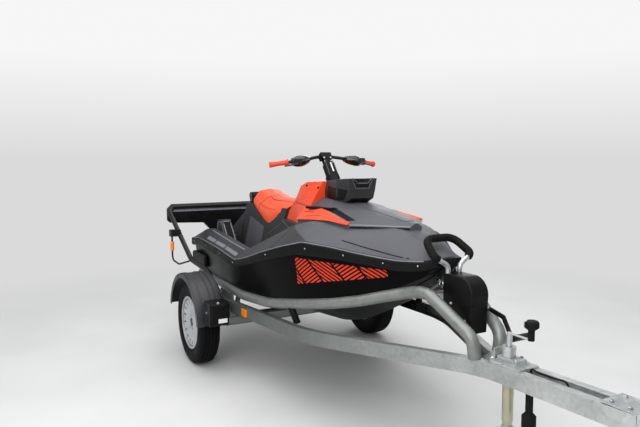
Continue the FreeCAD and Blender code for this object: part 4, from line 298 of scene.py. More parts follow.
def oneTexture(name, slotName, kind, settings, output, stops, relief, values):
    # a material whose colour and relief follow one texture
    material, tree, place = newMaterial(name)
    texture = addNode(tree, kind, settings, {"Vector": (place, "Object")})
    tone = addNode(tree, "ShaderNodeValToRGB", {"stops": stops}, {0: (texture, output)})
    bump = addNode(tree, "ShaderNodeBump", relief, {"Height": (texture, output)})
    endMaterial(name, slotName, material, values, {"Base Color": (tone, "Color"), "Normal": (bump, "Normal")})


def colourOf(name):
    # the tree of a finish, its shader and the node that gives its colour
    tree = materials[name].node_tree
    shader = next(n for n in tree.nodes if n.type == "BSDF_PRINCIPLED")
    return tree, shader, shader.inputs["Base Color"].links[0].from_node


def hullGraphic():
    # four slanted blocks of red stripes printed on the flanks, each leaning the other way from the last
    tree, shader, plain = colourOf("gelcoatBlack")
    place = addNode(tree, "ShaderNodeTexCoord")
    apart = addNode(tree, "ShaderNodeSeparateXYZ", links={0: (place, "Object")})
    done = {"x": (apart, "X"), "z": (apart, "Z")}
    # result, operation, then earlier results or numbers; along and up are mm from the stern and the keel
    for name, operation, *values in (
            ("along", "MULTIPLY_ADD", "x", 1000, 1845), ("up", "MULTIPLY_ADD", "z", 1000, -370),
            ("fromStart", "SUBTRACT", "along", 1968), ("toEnd", "SUBTRACT", 2478, "along"),
            ("ends", "MULTIPLY", "fromStart", "toEnd"), ("within", "GREATER_THAN", "ends", 0),
            ("axis", "MULTIPLY_ADD", "fromStart", 0.085, 424), ("off", "SUBTRACT", "up", "axis"),
            ("distance", "ABSOLUTE", "off"), ("halfHeight", "MULTIPLY_ADD", "fromStart", -0.115, 76),
            ("inBand", "LESS_THAN", "distance", "halfHeight"),
            ("lean", "MULTIPLY_ADD", "off", 0.75, "fromStart"),
            ("block", "DIVIDE", "lean", 128), ("whole", "FLOOR", "block"),
            ("part", "SUBTRACT", "block", "whole"),
            ("notGap", "GREATER_THAN", "part", 0.10), ("odd", "PINGPONG", "whole", 1),
            ("one", "MULTIPLY", "along", 0.5), ("oneUp", "MULTIPLY_ADD", "up", 0.87, "one"),
            ("two", "MULTIPLY", "along", -0.6), ("twoUp", "MULTIPLY_ADD", "up", 0.8, "two"),
            ("oneRow", "DIVIDE", "oneUp", 17), ("twoRow", "DIVIDE", "twoUp", 17),
            ("oneLine", "FRACT", "oneRow"), ("twoLine", "FRACT", "twoRow"),
            ("oneInk", "LESS_THAN", "oneLine", 0.55), ("twoInk", "LESS_THAN", "twoLine", 0.55),
            ("even", "SUBTRACT", 1, "odd"), ("inkOdd", "MULTIPLY", "oneInk", "odd"),
            ("ink", "MULTIPLY_ADD", "twoInk", "even", "inkOdd"), ("inkIn", "MULTIPLY", "ink", "inBand"),
            ("inkWithin", "MULTIPLY", "inkIn", "within"), ("print", "MULTIPLY", "inkWithin", "notGap")):
        step = addNode(tree, "ShaderNodeMath", {"operation": operation})
        for i, value in enumerate(values):
            if isinstance(value, str):
                source, output = done[value]
                tree.links.new(source.outputs[output], step.inputs[i])
            else:
                step.inputs[i].default_value = value
        done[name] = (step, "Value")
    coloured = addNode(tree, "ShaderNodeMix", {"data_type": "RGBA", 7: linear("c9402c")},
                       {0: done["print"], 6: (plain, "Color")})
    tree.links.new(coloured.outputs[2], shader.inputs["Base Color"])


def deckTone():
    # the deck is darker behind a slanting line that runs down each flank from the shoulder to the rail
    makeFinish("mouldedDeckToned", *finishes["mouldedDeckGrey"])
    tree, shader, light = colourOf("mouldedDeckToned")
    place = addNode(tree, "ShaderNodeTexCoord")
    apart = addNode(tree, "ShaderNodeSeparateXYZ", links={0: (place, "Object")})
    along = addNode(tree, "ShaderNodeMath", {"operation": "MULTIPLY_ADD", 1: 1000.0, 2: 80.0},
                    {0: (apart, "X")})
    up = addNode(tree, "ShaderNodeMath", {"operation": "MULTIPLY_ADD", 1: 6500.0, 2: -6597.5},
                 {0: (apart, "Z")})
    ahead = addNode(tree, "ShaderNodeMath", {"operation": "ADD"}, {0: (along, 0), 1: (up, 0)})
    share = addNode(tree, "ShaderNodeMapRange", {"From Min": -6.0, "From Max": 6.0}, {"Value": (ahead, 0)})
    toned = addNode(tree, "ShaderNodeMix", {"data_type": "RGBA", 6: linear("222225")},
                    {0: (share, 0), 7: (light, "Color")})
    tree.links.new(toned.outputs[2], shader.inputs["Base Color"])


galvanised()
deckTone()
hullGraphic()
# acrylic lenses over a reflector: deep colour, glossy, with moulded prisms
for name, low, high, slotName in (("clearAcrylic", "c9cccd", "f1f2f2", None),
                                  ("redAcrylic", "7d0f10", "c01c18", "red_lens"),
                                  ("amberAcrylic", "e06a00", "ff9a1c", "amber_lens")):
    oneTexture(name, slotName, "ShaderNodeTexVoronoi", {"Scale": 1000 / 7, "distance": "CHEBYCHEV"},
               "Distance", [(0.0, low), (0.8, high)], {"Strength": 0.5, "Distance": 0.0008},
               {"Roughness": 0.14, "Coat Weight": 0.6})
# woven polyester, 2 mm ribs across a flat band
oneTexture("wovenPolyester", "strap_webbing", "ShaderNodeTexWave",
           {"bands_direction": "Y", "Scale": 1000 / 4 / 6.3, "Distortion": 0.6}, "Fac",
           [(0.2, "2b2c2e"), (0.8, "55575a")], {"Strength": 0.7, "Distance": 0.0006}, {"Roughness": 0.85})
print("materials ready:", len(materials))


# Meshes: pieces are made in bmesh, finished by modifiers and then applied
def newPiece(name, mesh, finish, body="craft_on_trailer"):
    piece = inScene(name, mesh)
    mesh.materials.append(materials[finish])
    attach(piece, body)
    return piece


def meshFrom(name, grid):
    # closes a bmesh into a mesh with its faces turned outwards
    bmesh.ops.recalc_face_normals(grid, faces=grid.faces)
    mesh = bpy.data.meshes.new(name)
    grid.to_mesh(mesh)
    grid.free()
    return mesh


def applied(piece):
    # bakes the modifiers into the piece's own mesh
    ready = piece.evaluated_get(bpy.context.evaluated_depsgraph_get())
    mesh = bpy.data.meshes.new_from_object(ready)
    old = piece.data
    piece.modifiers.clear()
    piece.data = mesh
    bpy.data.meshes.remove(old)
    return piece


def polished(piece, bevel=0.0, segments=2, angle=32):
    if bevel:
        edge = piece.modifiers.new("edges", "BEVEL")
        edge.width = bevel / 1000
        edge.segments = segments
        edge.limit_method = "ANGLE"
        edge.angle_limit = math.radians(angle)
        edge.miter_outer = "MITER_ARC"
        applied(piece)
    grid = bmesh.new()
    grid.from_mesh(piece.data)
    for face in grid.faces:
        face.smooth = True
    for edge in grid.edges:
        edge.smooth = len(edge.link_faces) == 2 and edge.calc_face_angle(3) < math.radians(angle)
    grid.to_mesh(piece.data)
    grid.free()
    normals = piece.modifiers.new("normals", "WEIGHTED_NORMAL")
    normals.keep_sharp = True
    return applied(piece)


def mergedCopy(node):
    grid = bmesh.new()
    grid.from_mesh(nodes[node].data)
    bmesh.ops.remove_doubles(grid, verts=grid.verts, dist=2e-5)
    bmesh.ops.dissolve_limit(grid, angle_limit=math.radians(0.7), verts=grid.verts, edges=grid.edges,
                             delimit={"NORMAL"})
    mesh = bpy.data.meshes.new(node)
    grid.to_mesh(mesh)
    grid.free()
    return mesh


def dressed(node, finish, bevel):
    piece = newPiece(node + "Skin", mergedCopy(node), finish, nodes[node]["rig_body"])
    polished(piece, bevel)
    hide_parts(node)
    return piece


def recolour(piece, finish, chosen):
    # gives a second finish to the faces whose middle the test picks out
    piece.data.materials.append(materials[finish])
    for face in piece.data.polygons:
        if chosen(face.center):
            face.material_index = len(piece.data.materials) - 1


def curveThrough(xs, ys, kinks=()):
    # a monotone cubic through a column of offsets, broken at the kinks
    if kinks:
        cut = xs.index(kinks[0])
        before = curveThrough(xs[:cut + 1], ys[:cut + 1])
        after = curveThrough(xs[cut:], ys[cut:], kinks[1:])
        return lambda x: before(x) if x <= xs[cut] else after(x)
    steps = [b - a for a, b in zip(xs, xs[1:])]
    rises = [(b - a) / h for a, b, h in zip(ys, ys[1:], steps)]
    slopes = [rises[0]]
    for left, right, hl, hr in zip(rises, rises[1:], steps, steps[1:]):
        flat = left * right <= 0
        slopes.append(0 if flat else 3 * (hl + hr) / ((2 * hr + hl) / left + (hr + 2 * hl) / right))
    slopes.append(rises[-1])

    def at(x):
        i = max(k for k in range(len(steps)) if x >= xs[k] or k == 0)
        t = (x - xs[i]) / steps[i]
        u = 1 - t
        return ((1 + 2 * t) * u * u * ys[i] + t * u * u * steps[i] * slopes[i]
                + t * t * (3 - 2 * t) * ys[i + 1] - t * t * u * steps[i] * slopes[i + 1])
    return at


def joinLoops(grid, low, high):
    # a wall of faces between two loops of equal length
    for k in range(len(low)):
        m = (k + 1) % len(low)
        grid.faces.new((low[k], low[m], high[m], high[k]))


def closeEnds(grid, loops):
    for low, high in zip(loops, loops[1:]):
        joinLoops(grid, low, high)
    grid.faces.new(list(reversed(loops[0])))
    grid.faces.new(loops[-1])


def ringSkin(name, rings):
    # a closed skin through rings of equal length, with a face on each end
    grid = bmesh.new()
    loops = [[grid.verts.new(place) for place in ring] for ring in rings]
    closeEnds(grid, loops)
    return meshFrom(name, grid)


def craftRing(x, corners):
    # corners run from the bottom centre up to the top centre on port; starboard is their mirror
    port = [craft(x, y, z) for y, z in corners]
    starboard = [craft(x, -y, z) for y, z in reversed(corners) if y != 0]
    return port + starboard


def prism(name, corners, thickness):
    # a closed block from a flat outline, pushed along the given vector
    return ringSkin(name, [corners, [c + thickness for c in corners]])


def carve(piece, cutters):
    made = []
    for mesh in cutters:
        tool = inScene("tool", mesh)
        cut = piece.modifiers.new("cut", "BOOLEAN")
        cut.operation = "DIFFERENCE"
        cut.solver = "EXACT"
        cut.object = tool
        made.append(tool)
    applied(piece)
    removed(made)


def removed(tools):
    for tool in tools:
        mesh = tool.data
        bpy.data.objects.remove(tool)
        bpy.data.meshes.remove(mesh)


# One tree places a small pattern on points: each point carries the way it faces and the way it lies
def placementTree():
    tree = bpy.data.node_groups.new("placeOnPoints", "GeometryNodeTree")
    for name, kind in (("Points", "Geometry"), ("Pattern", "Object"), ("Size", "Float"),
                       ("Turn Spread", "Float"), ("Finish", "Material")):
        tree.interface.new_socket(name, in_out="INPUT", socket_type="NodeSocket" + kind)
    tree.interface.new_socket("Pieces", in_out="OUTPUT", socket_type="NodeSocketGeometry")
    given = addNode(tree, "NodeGroupInput")
    facing, lying = (addNode(tree, "GeometryNodeInputNamedAttribute",
                             {"data_type": "FLOAT_VECTOR", "Name": name})
                     for name in ("facing", "lying"))
    upright = addNode(tree, "FunctionNodeAlignRotationToVector", {"axis": "Z"},
                      {"Vector": (facing, "Attribute")})
    turned = addNode(tree, "FunctionNodeAlignRotationToVector", {"axis": "X", "pivot_axis": "Z"},
                     {"Rotation": (upright, 0), "Vector": (lying, "Attribute")})
    chance = addNode(tree, "FunctionNodeRandomValue", {"data_type": "FLOAT", "Seed": 7})
    spread = addNode(tree, "ShaderNodeMath", {"operation": "MULTIPLY"},
                     {0: (chance, 1), 1: (given, "Turn Spread")})
    about = addNode(tree, "ShaderNodeCombineXYZ", links={"Z": (spread, "Value")})
    spun = addNode(tree, "FunctionNodeRotateRotation", {"rotation_space": "LOCAL"},
                   {"Rotation": (turned, 0), "Rotate By": (about, "Vector")})
    shape = addNode(tree, "GeometryNodeObjectInfo", {"As Instance": True}, {"Object": (given, "Pattern")})
    copies = addNode(tree, "GeometryNodeInstanceOnPoints", {},
                     {"Points": (given, "Points"), "Instance": (shape, "Geometry"), "Rotation": (spun, 0),
                      "Scale": (given, "Size")})
    real = addNode(tree, "GeometryNodeRealizeInstances", {}, {"Geometry": (copies, "Instances")})
    dressedUp = addNode(tree, "GeometryNodeSetMaterial", {},
                        {"Geometry": (real, 0), "Material": (given, "Finish")})
    addNode(tree, "NodeGroupOutput", links={"Pieces": (dressedUp, "Geometry")})
    return tree


placing = placementTree()


def placed(name, spots, pattern, finish, body="craft_on_trailer", size=1.0, turnSpread=0.0):
    # spots: (place, facing, lying); the result is one plain mesh
    mesh = bpy.data.meshes.new(name)
    mesh.from_pydata([tuple(spot[0]) for spot in spots], [], [])
    for attribute, index in (("facing", 1), ("lying", 2)):
        values = mesh.attributes.new(attribute, "FLOAT_VECTOR", "POINT").data
        for value, spot in zip(values, spots):
            value.vector = spot[index]
    piece = inScene(name, mesh)
    made = piece.modifiers.new("placing", "NODES")
    made.node_group = placing
    given = {"Pattern": pattern, "Size": size, "Turn Spread": turnSpread, "Finish": materials[finish]}
    for item in placing.interface.items_tree:
        if item.name in given and item.in_out == "INPUT":
            made[item.identifier] = given[item.name]
    applied(piece)
    for face in piece.data.polygons:
        face.use_smooth = False
    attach(piece, body)


def surfaceOf(piece):
    return BVHTree.FromPolygons([v.co.copy() for v in piece.data.vertices],
                                [tuple(face.vertices) for face in piece.data.polygons])


def ribbonOn(name, surface, points, width, height, finish, body="craft_on_trailer", step=12, sink=1.5):
    # a low rounded strip laid along a path on a surface; sizes in mm
    path = []
    for a, b in zip(points, points[1:]):
        parts = max(1, round((Vector(b) - Vector(a)).length * 1000 / step))
        path += [Vector(a).lerp(Vector(b), i / parts) for i in range(parts)]
    path.append(Vector(points[-1]))
    found = [surface.find_nearest(p)[:2] for p in path]
    rings = []
    for i, (place, normal) in enumerate(found):
        before, after = found[max(i - 1, 0)], found[min(i + 1, len(found) - 1)]
        up = (before[1] + normal * 2 + after[1]).normalized()
        side = (after[0] - before[0]).cross(up).normalized()
        rings.append([place + side * (width * a / 1000) + up * (b / 1000) for a, b in
                      ((-0.5, -sink), (-0.5, height * 0.5), (-0.32, height), (0.32, height),
                       (0.5, height * 0.5), (0.5, -sink))])
    polished(newPiece(name, ringSkin(name, rings), finish, body), 0, 1, 40)


# how far plates reach into the surface under them, in mm
plateSink = 2.0


def panelOn(name, surface, corners, height, finish, body="craft_on_trailer", steps=(10, 4), bevel=1.0):
    # a low plate laid on a surface between four corners; sizes in mm
    n, m = steps
    a, b, c, d = (Vector(corner) for corner in corners)
    grid = bmesh.new()
    top, low = {}, {}
    for i in range(n + 1):
        for j in range(m + 1):
            place, normal = surface.find_nearest(a.lerp(b, i / n).lerp(d.lerp(c, i / n), j / m))[:2]
            top[i, j] = grid.verts.new(place + normal * height / 1000)
            low[i, j] = grid.verts.new(place - normal * plateSink / 1000)
    for i in range(n):
        for j in range(m):
            cell = ((i, j), (i + 1, j), (i + 1, j + 1), (i, j + 1))
            grid.faces.new([top[k] for k in cell])
            grid.faces.new([low[k] for k in reversed(cell)])
    rim = ([(i, 0) for i in range(n)] + [(n, j) for j in range(m)] + [(i, m) for i in range(n, 0, -1)]
           + [(0, j) for j in range(m, 0, -1)])
    for k, l in zip(rim, rim[1:] + rim[:1]):
        grid.faces.new((top[k], low[k], low[l], top[l]))
    bmesh.ops.remove_doubles(grid, verts=grid.verts, dist=1e-5)
    return polished(newPiece(name, meshFrom(name, grid), finish, body), bevel, 2, 40)


def spotOn(surface, point):
    place, normal = surface.find_nearest(point)[:2]
    return place, normal, (1, 0, 0)


patterns = []


def newPattern(name, grid):
    # a small shape in metres about the origin, removed at the end
    pattern = inScene(name, meshFrom(name, grid))
    patterns.append(pattern)
    return pattern


def angles(count):
    return [2 * math.pi * i / count for i in range(count)]


def turnedPattern(name, profile, count):
    # profile: (radius, height) pairs in mm
    grid = bmesh.new()
    loops = [[grid.verts.new((radius / 1000 * math.cos(a), radius / 1000 * math.sin(a), height / 1000))
              for a in angles(count)] for radius, height in profile]
    closeEnds(grid, loops)
    return newPattern(name, grid)


def boxPattern(name, x, y, z, taper):
    # a small ridge: full size at the foot, tapered to the top
    grid = bmesh.new()
    corners = ((-1, -1), (1, -1), (1, 1), (-1, 1))
    foot, top = [[grid.verts.new((a * x * share / 2000, b * y * share / 2000, height)) for a, b in corners]
                 for share, height in ((1, -0.001), (taper, z / 1000))]
    closeEnds(grid, [foot, top])
    return newPattern(name, grid)


hexBolt = turnedPattern("hexBolt", [(9, -1), (9, 1), (6.6, 1.2), (6.6, 5.2), (5.6, 6)], 6)
panScrew = turnedPattern("panScrew", [(4.5, -1), (4.5, 1.0), (3.6, 2.3), (2.0, 2.9), (1.6, 1.6),
                                      (0.4, 1.5)], 10)
plugCap = turnedPattern("plugCap", [(9, -1), (9, 1.5), (7, 3), (3.5, 3.4), (3.2, 2.4), (0.5, 2.3)], 20)
gripRidge = boxPattern("gripRidge", 5, 17, 1.4, 0.7)
stitch = boxPattern("stitch", 4.4, 1.0, 0.7, 0.7)
print("tools ready")

# Hull, deck and bumper: offsets from the centre plane and the keel line, in mm
stations = [0, 350, 850, 1310, 1480, 1700, 1880, 2050, 2210, 2350, 2470, 2540, 2610, 2668, 2702]
offsets = {
    "keelZ": [0, 0, 0, 0, 4, 18, 58, 118, 192, 262, 327, 366, 418, 466, 508],
    "chineY": [420, 455, 497, 520, 513, 500, 470, 425, 355, 282, 210, 168, 126, 84, 42],
    "chineZ": [150, 155, 168, 186, 196, 215, 243, 275, 305, 340, 380, 412, 448, 486, 516],
    "railY": [452, 487, 539, 570, 572, 554, 517, 459, 382, 300, 222, 183, 142, 100, 58],
    "railZ": [330, 362, 366, 352, 392, 450, 498, 530, 526, 516, 502, 496, 500, 512, 526],
    "railTop": [385, 418, 421, 400, 435, 500, 552, 596, 584, 563, 548, 543, 545, 551, 560],
    "shoulderY": [400, 420, 460, 500, 430, 352, 338, 325, 282, 238, 190, 160, 124, 86, 50],
    "shoulderZ": [414, 490, 470, 454, 540, 645, 676, 664, 653, 623, 592, 574, 564, 561, 565],
    "crownZ": [425, 490, 470, 454, 540, 690, 708, 712, 714, 700, 672, 650, 616, 590, 570],
}
kinks = {"shoulderY": (1310, 1700), "shoulderZ": (1310, 1700), "crownZ": (1310, 1700),
         "railTop": (1310, 2050), "railZ": (1310,)}
lane = {key: curveThrough(stations, values, kinks.get(key, ())) for key, values in offsets.items()}
samples = sorted(set(stations + list(range(0, 2702, 28)) + [1309, 1311]))
cockpitOutline = [(430, 370), (1310, 452), (1620, 320), (1620, -320), (1310, -452), (430, -370)]


def cockpitBlock(z0, z1):
    # the space between the sides where the feet and the seat go
    return prism("cockpitBlock", [craft(x, y, z0) for x, y in cockpitOutline],
                 Vector((0, 0, (z1 - z0) / 1000)))


def slab(x0, x1, y0, y1, z0, z1):
    corners = [craft(x0, y0, z0), craft(x1, y0, z0), craft(x1, y1, z0), craft(x0, y1, z0)]
    return prism("slab", corners, Vector((0, 0, (z1 - z0) / 1000)))


def hullRing(x):
    keel, chineY, chineZ = lane["keelZ"](x), lane["chineY"](x), lane["chineZ"](x)
    railY, railZ = lane["railY"](x) - 14, lane["railZ"](x)
    strakeShare = 0.52
    strakeY, strakeZ = chineY * strakeShare, keel + (chineZ - keel) * strakeShare
    return craftRing(x, [(0, keel), (strakeY, strakeZ), (strakeY + 10, strakeZ - 3),
                         (strakeY + 16, strakeZ + 4), (chineY, chineZ - 2), (chineY + 1, chineZ + 4),
                         (chineY + (railY - chineY) * 0.5 - 3, chineZ + (railZ - chineZ) * 0.5),
                         (railY, railZ), (0, railZ)])


def makeHull():
    skin = ringSkin("hullShell", [hullRing(x) for x in samples])
    hull = newPiece("hullShell", skin, "gelcoatBlack")
    mouth = ((-135, -10), (135, -10), (135, 235), (105, 265), (-105, 265), (-135, 235))
    tunnel = prism("tunnel", [craft(-5, y, z) for y, z in mouth], Vector((0.475, 0, 0)))
    intake = slab(600, 960, -80, 80, -10, 90)
    carve(hull, [cockpitBlock(285, 800), tunnel, intake])
    polished(hull, 3, 2, 24)
    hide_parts("hull")
    return hull


def deckRing(x):
    shoulderY, shoulderZ, crownZ = lane["shoulderY"](x), lane["shoulderZ"](x), lane["crownZ"](x)
    facet = 0.42
    return craftRing(x, [(0, lane["railZ"](x) + 0.3), (lane["railY"](x), lane["railZ"](x) + 0.3),
                         (lane["railY"](x), lane["railTop"](x)), (shoulderY, shoulderZ),
                         (shoulderY * facet, shoulderZ + (crownZ - shoulderZ) * 0.86), (0, crownZ)])


def makeDeck():
    skin = ringSkin("deckShell", [deckRing(x) for x in samples])
    deck = newPiece("deckShell", skin, "mouldedDeckToned")
    platform = slab(-5, 435, -370, 370, 440, 640)
    carve(deck, [cockpitBlock(285, 900), platform])
    polished(deck, 5, 3, 24)
    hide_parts("deck")
    return deck


def makeBumper():
    def outer(x, past=0):
        railY, railZ, railTop = (lane[k](x) for k in ("railY", "railZ", "railTop"))
        return craftRing(x + past, [(0, railZ - 6), (railY + 12, railZ - 6), (railY + 18, railZ + 8),
                                    (railY + 18, railTop - 8), (railY + 8, railTop + 4), (0, railTop + 4)])

    def core(x, past=0):
        railY, railZ, railTop = (lane[k](x) for k in ("railY", "railZ", "railTop"))
        return craftRing(x + past, [(0, railZ - 20), (railY + 0.3, railZ - 20), (railY + 0.3, railTop + 20),
                                    (0, railTop + 20)])
    skin = ringSkin("bumperBand", [outer(x) for x in samples] + [outer(2702, 16)])
    bumper = newPiece("bumperBand", skin, "extrudedBumper")
    carve(bumper, [ringSkin("bumperCore",
                            [core(0, -2)] + [core(x) for x in samples[1:]] + [core(2702, 0.3)])])
    polished(bumper, 4, 3, 30)
    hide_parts("bumper_rail")
    return bumper


hullPiece = makeHull()
deckPiece = makeDeck()
bumperPiece = makeBumper()
print("hull, deck and bumper ready")


def ridgedMat(name, surface, corners, spots):
    # a thin rubber mat with rows of ridges moulded on it
    mat = panelOn(name, surface, corners, 2.0, "mouldedRubber", steps=(2, 2))
    onMat = surfaceOf(mat)
    return [spotOn(onMat, spot) for spot in spots]


def trimDeck():
    onDeck, onBumper, onHull = (surfaceOf(piece) for piece in (deckPiece, bumperPiece, hullPiece))
    for side, tag in sides:
        def across(x, share):
            # a point on the deck's flank, from the rail at 0 to the shoulder at 1
            y = lane["railY"](x) + (lane["shoulderY"](x) - lane["railY"](x)) * share
            z = lane["railTop"](x) + (lane["shoulderZ"](x) - lane["railTop"](x)) * share
            return craft(x, side * y, z)
        # a thin grey strip along the bumper's top edge, a painted highlight
        edge = [craft(x, side * (lane["railY"](x) + 12), lane["railTop"](x) + 1) for x in range(20, 2690, 30)]
        ribbonOn("bumperEdge" + tag, onBumper, edge, 6, 1.6, "mouldedTrimGrey")
        coaming = [across(x, 0.97) for x in range(445, 1300, 30)]
        ribbonOn("coamingEdge" + tag, onDeck, coaming, 8, 2.0, "mouldedTrimGrey")
        seam = [across(1762, 0.04), across(1752, 0.5), across(1717, 0.98)]
        ribbonOn("deckSeam" + tag, onDeck, seam, 7, 0.4, "mouldedRubber")
        ribbonOn("bowSeam" + tag, onDeck, [across(x, 0.5) for x in range(2230, 2600, 30)], 6, 0.4,
                 "mouldedRubber")
        for i, (x0, x1) in enumerate(((470, 700), (736, 968), (1004, 1262))):
            corners = [across(x0, 0.16), across(x1, 0.16), across(x1, 0.46), across(x0, 0.46)]
            panelOn("gripPad%s%d" % (tag, i), onDeck, corners, 2.2, "mouldedTrimGrey", steps=(16, 3))
        onPads = [spotOn(onDeck, across(x, 0.31)) for x in range(486, 1256, 16)
                  if not (690 < x < 745 or 960 < x < 1012)]
        ridges = [(place + normal * 0.002, normal, lying) for place, normal, lying in onPads]
        placed("gripRidges" + tag, ridges, gripRidge, "mouldedTrimGrey")

        platform = [craft(x, side * y, 440) for x, y in ((30, 24), (400, 24), (400, 345), (30, 345))]
        spots = [craft(x, side * y, 442) for x in range(46, 396, 18) for y in range(44, 340, 26)]
        rows = ridgedMat("platformMat" + tag, onDeck, platform, spots)
        placed("platformMatRidges" + tag, rows, gripRidge, "mouldedRubber")
        footwell = [craft(x, side * y, 285) for x, y in ((640, 282), (1240, 290), (1240, 420), (640, 372))]
        spots = [craft(x, side * (y + (x - 640) * 0.06), 287) for x in range(656, 1232, 18)
                 for y in range(296, 366, 24)]
        rows = ridgedMat("footMat" + tag, onHull, footwell, spots)
        placed("footMatRidges" + tag, rows, gripRidge, "mouldedRubber")
        middle = lambda x: lane["railZ"](x) * 0.5 + lane["railTop"](x) * 0.5
        screws = [spotOn(onBumper, craft(x, side * (lane["railY"](x) + 18), middle(x)))
                  for x in (120, 560, 980, 1290, 1760, 2075, 2291, 2480, 2640)]
        placed("bumperScrews" + tag, screws, panScrew, "brushedStainless", turnSpread=3.0)


trimDeck()
print("deck trim ready")


# Seat cushion: rows of x, low half width, low, side half width, side, top half width, top
seatRows = [(532, 128, 700.3, 124, 738, 66, 793), (592, 140, 678, 138, 748, 88, 806),
            (722, 156, 630, 152, 715, 92, 770), (940, 168, 566, 156, 692, 92, 748),
            (1070, 150, 658, 140, 706, 84, 748), (1155, 110, 706, 100, 724, 52, 740)]
seatFill = {"voxel": 0.006, "inset": 0.006, "smoothing": 5, "pressure": 4.0, "frames": 20, "mostMove": 0.010}


def padded(piece, held):
    # swells the skin under pressure with the given points held, each point moving no further than the cap
    scene = bpy.context.scene
    start = [v.co.copy() for v in piece.data.vertices]
    group = piece.vertex_groups.new(name="held")
    group.add([v.index for v in piece.data.vertices if held(v)], 1.0, "REPLACE")
    cloth = piece.modifiers.new("padding", "CLOTH")
    cloth.settings.use_pressure = True
    cloth.settings.uniform_pressure_force = seatFill["pressure"]
    cloth.settings.effector_weights.gravity = 0
    cloth.settings.vertex_group_mass = "held"
    cloth.point_cache.frame_end = seatFill["frames"]
    for frameNumber in range(1, seatFill["frames"] + 1):
        scene.frame_set(frameNumber)
    ready = piece.evaluated_get(bpy.context.evaluated_depsgraph_get())
    moved = [v.co.copy() for v in ready.data.vertices]
    piece.modifiers.clear()
    scene.frame_set(1)
    for vertex, first, last in zip(piece.data.vertices, start, moved):
        step = last - first
        vertex.co = first + step * min(1.0, seatFill["mostMove"] / max(step.length, 1e-9))
    piece.vertex_groups.clear()


def makeSeat():
    xs = [row[0] for row in seatRows]
    columns = [curveThrough(xs, [row[k] for row in seatRows]) for k in range(1, 7)]
    rings = []
    for x in sorted(set(xs + list(range(532, 1155, 24)))):
        lowY, low, sideY, side, topY, top = (column(x) for column in columns)
        rings.append(craftRing(x, [(0, low), (lowY, low), (sideY, side), (topY, top), (0, top + 9)]))
    seat = newPiece("seatCushion", ringSkin("seatCushion", rings), "marineVinyl")
    remesh = seat.modifiers.new("voxels", "REMESH")
    remesh.mode = "VOXEL"
    remesh.voxel_size = seatFill["voxel"]
    inset = seat.modifiers.new("inset", "DISPLACE")
    inset.strength = -seatFill["inset"]
    inset.mid_level = 0
    smooth = seat.modifiers.new("smooth", "SMOOTH")
    smooth.iterations = seatFill["smoothing"]
    applied(seat)
    padded(seat, lambda v: v.normal.z < -0.35)
    finer = seat.modifiers.new("finer", "SUBSURF")
    finer.levels = 1
    finer.render_levels = 1
    applied(seat)
    for face in seat.data.polygons:
        face.use_smooth = True
    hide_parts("seat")
    return seat


seatPiece = makeSeat()


# the stitches of a seam: pitch along it and distance from its middle, in metres
seamRow = {"pitch": 0.008, "apart": 0.0055}


def trimSeat():
    onSeat = surfaceOf(seatPiece)
    stitches = []
    halfBolster = [(690, 156, 660), (712, 152, 712), (740, 120, 745), (772, 72, 768)]
    bolster = [(x, -y, z) for x, y, z in halfBolster] + [(786, 0, 780)] + halfBolster[::-1]
    sideSeam = [(775, 74, 768), (860, 96, 752), (1000, 92, 748), (1110, 70, 746), (1150, 52, 738)]
    paths = [[craft(*point) for point in bolster]]
    paths += [[craft(x, side * y, z) for x, y, z in sideSeam] for side, tag in sides]
    for i, path in enumerate(paths):
        ribbonOn("seatSeam%d" % i, onSeat, path, 6, 0.9, "marineThread", step=8, sink=0.6)
        for a, b in zip(path, path[1:]):
            count = max(1, round((b - a).length / seamRow["pitch"]))
            along = (b - a).normalized()
            for k in range(count):
                for gap in (-seamRow["apart"], seamRow["apart"]):
                    place, normal = onSeat.find_nearest(a.lerp(b, k / count))[:2]
                    shifted, normal = onSeat.find_nearest(place + along.cross(normal).normalized() * gap)[:2]
                    stitches.append((shifted, normal, along))
    placed("seatStitches", stitches, stitch, "marineThread")


trimSeat()
print("seat ready")

# Road wheels: a bead-to-bead carcass with five ribs of tread blocks, and a slotted disc in the rim
wheel = {"halfTrack": 716, "radius": 285, "turns": 96, "treadBase": 278}
tread = {"blocks": 68, "height": 6.6, "cornerDrop": 2.6, "skew": 3.5, "outerGap": 2.4, "gap": 1.4,
         "draft": 0.4, "ribs": ((-52, -36), (-30, -15), (-9, 9), (15, 30), (36, 52))}
tyreSection = [(59.7, 170), (59.7, 184), (66, 196), (71, 212), (73, 229), (72.6, 245), (70, 259), (64, 270),
               (56, 276), (50, 278), (0, 278)]
# a raised ring near the disc's edge, then a dish and the flat that the nuts hold
discSection = [(51, 164), (56, 157), (50, 124), (43, 96), (47, 80), (50, 60), (47, 44), (47, 31)]
disc = {"thickness": 3.5, "slots": 16, "slotRadius": 140, "slotReach": 8, "slotEnd": 6.5, "nuts": 5,
        "nutRadius": 49, "firstNut": 20}


def turned(name, section):
    # a closed section of (y, radius) turned about the axle
    grid = bmesh.new()
    rings = [[grid.verts.new(trailer(r * math.sin(a), y, wheel["radius"] + r * math.cos(a)))
              for y, r in section] for a in angles(wheel["turns"])]
    for first, second in zip(rings, rings[1:] + rings[:1]):
        joinLoops(grid, first, second)
    return meshFrom(name, grid)


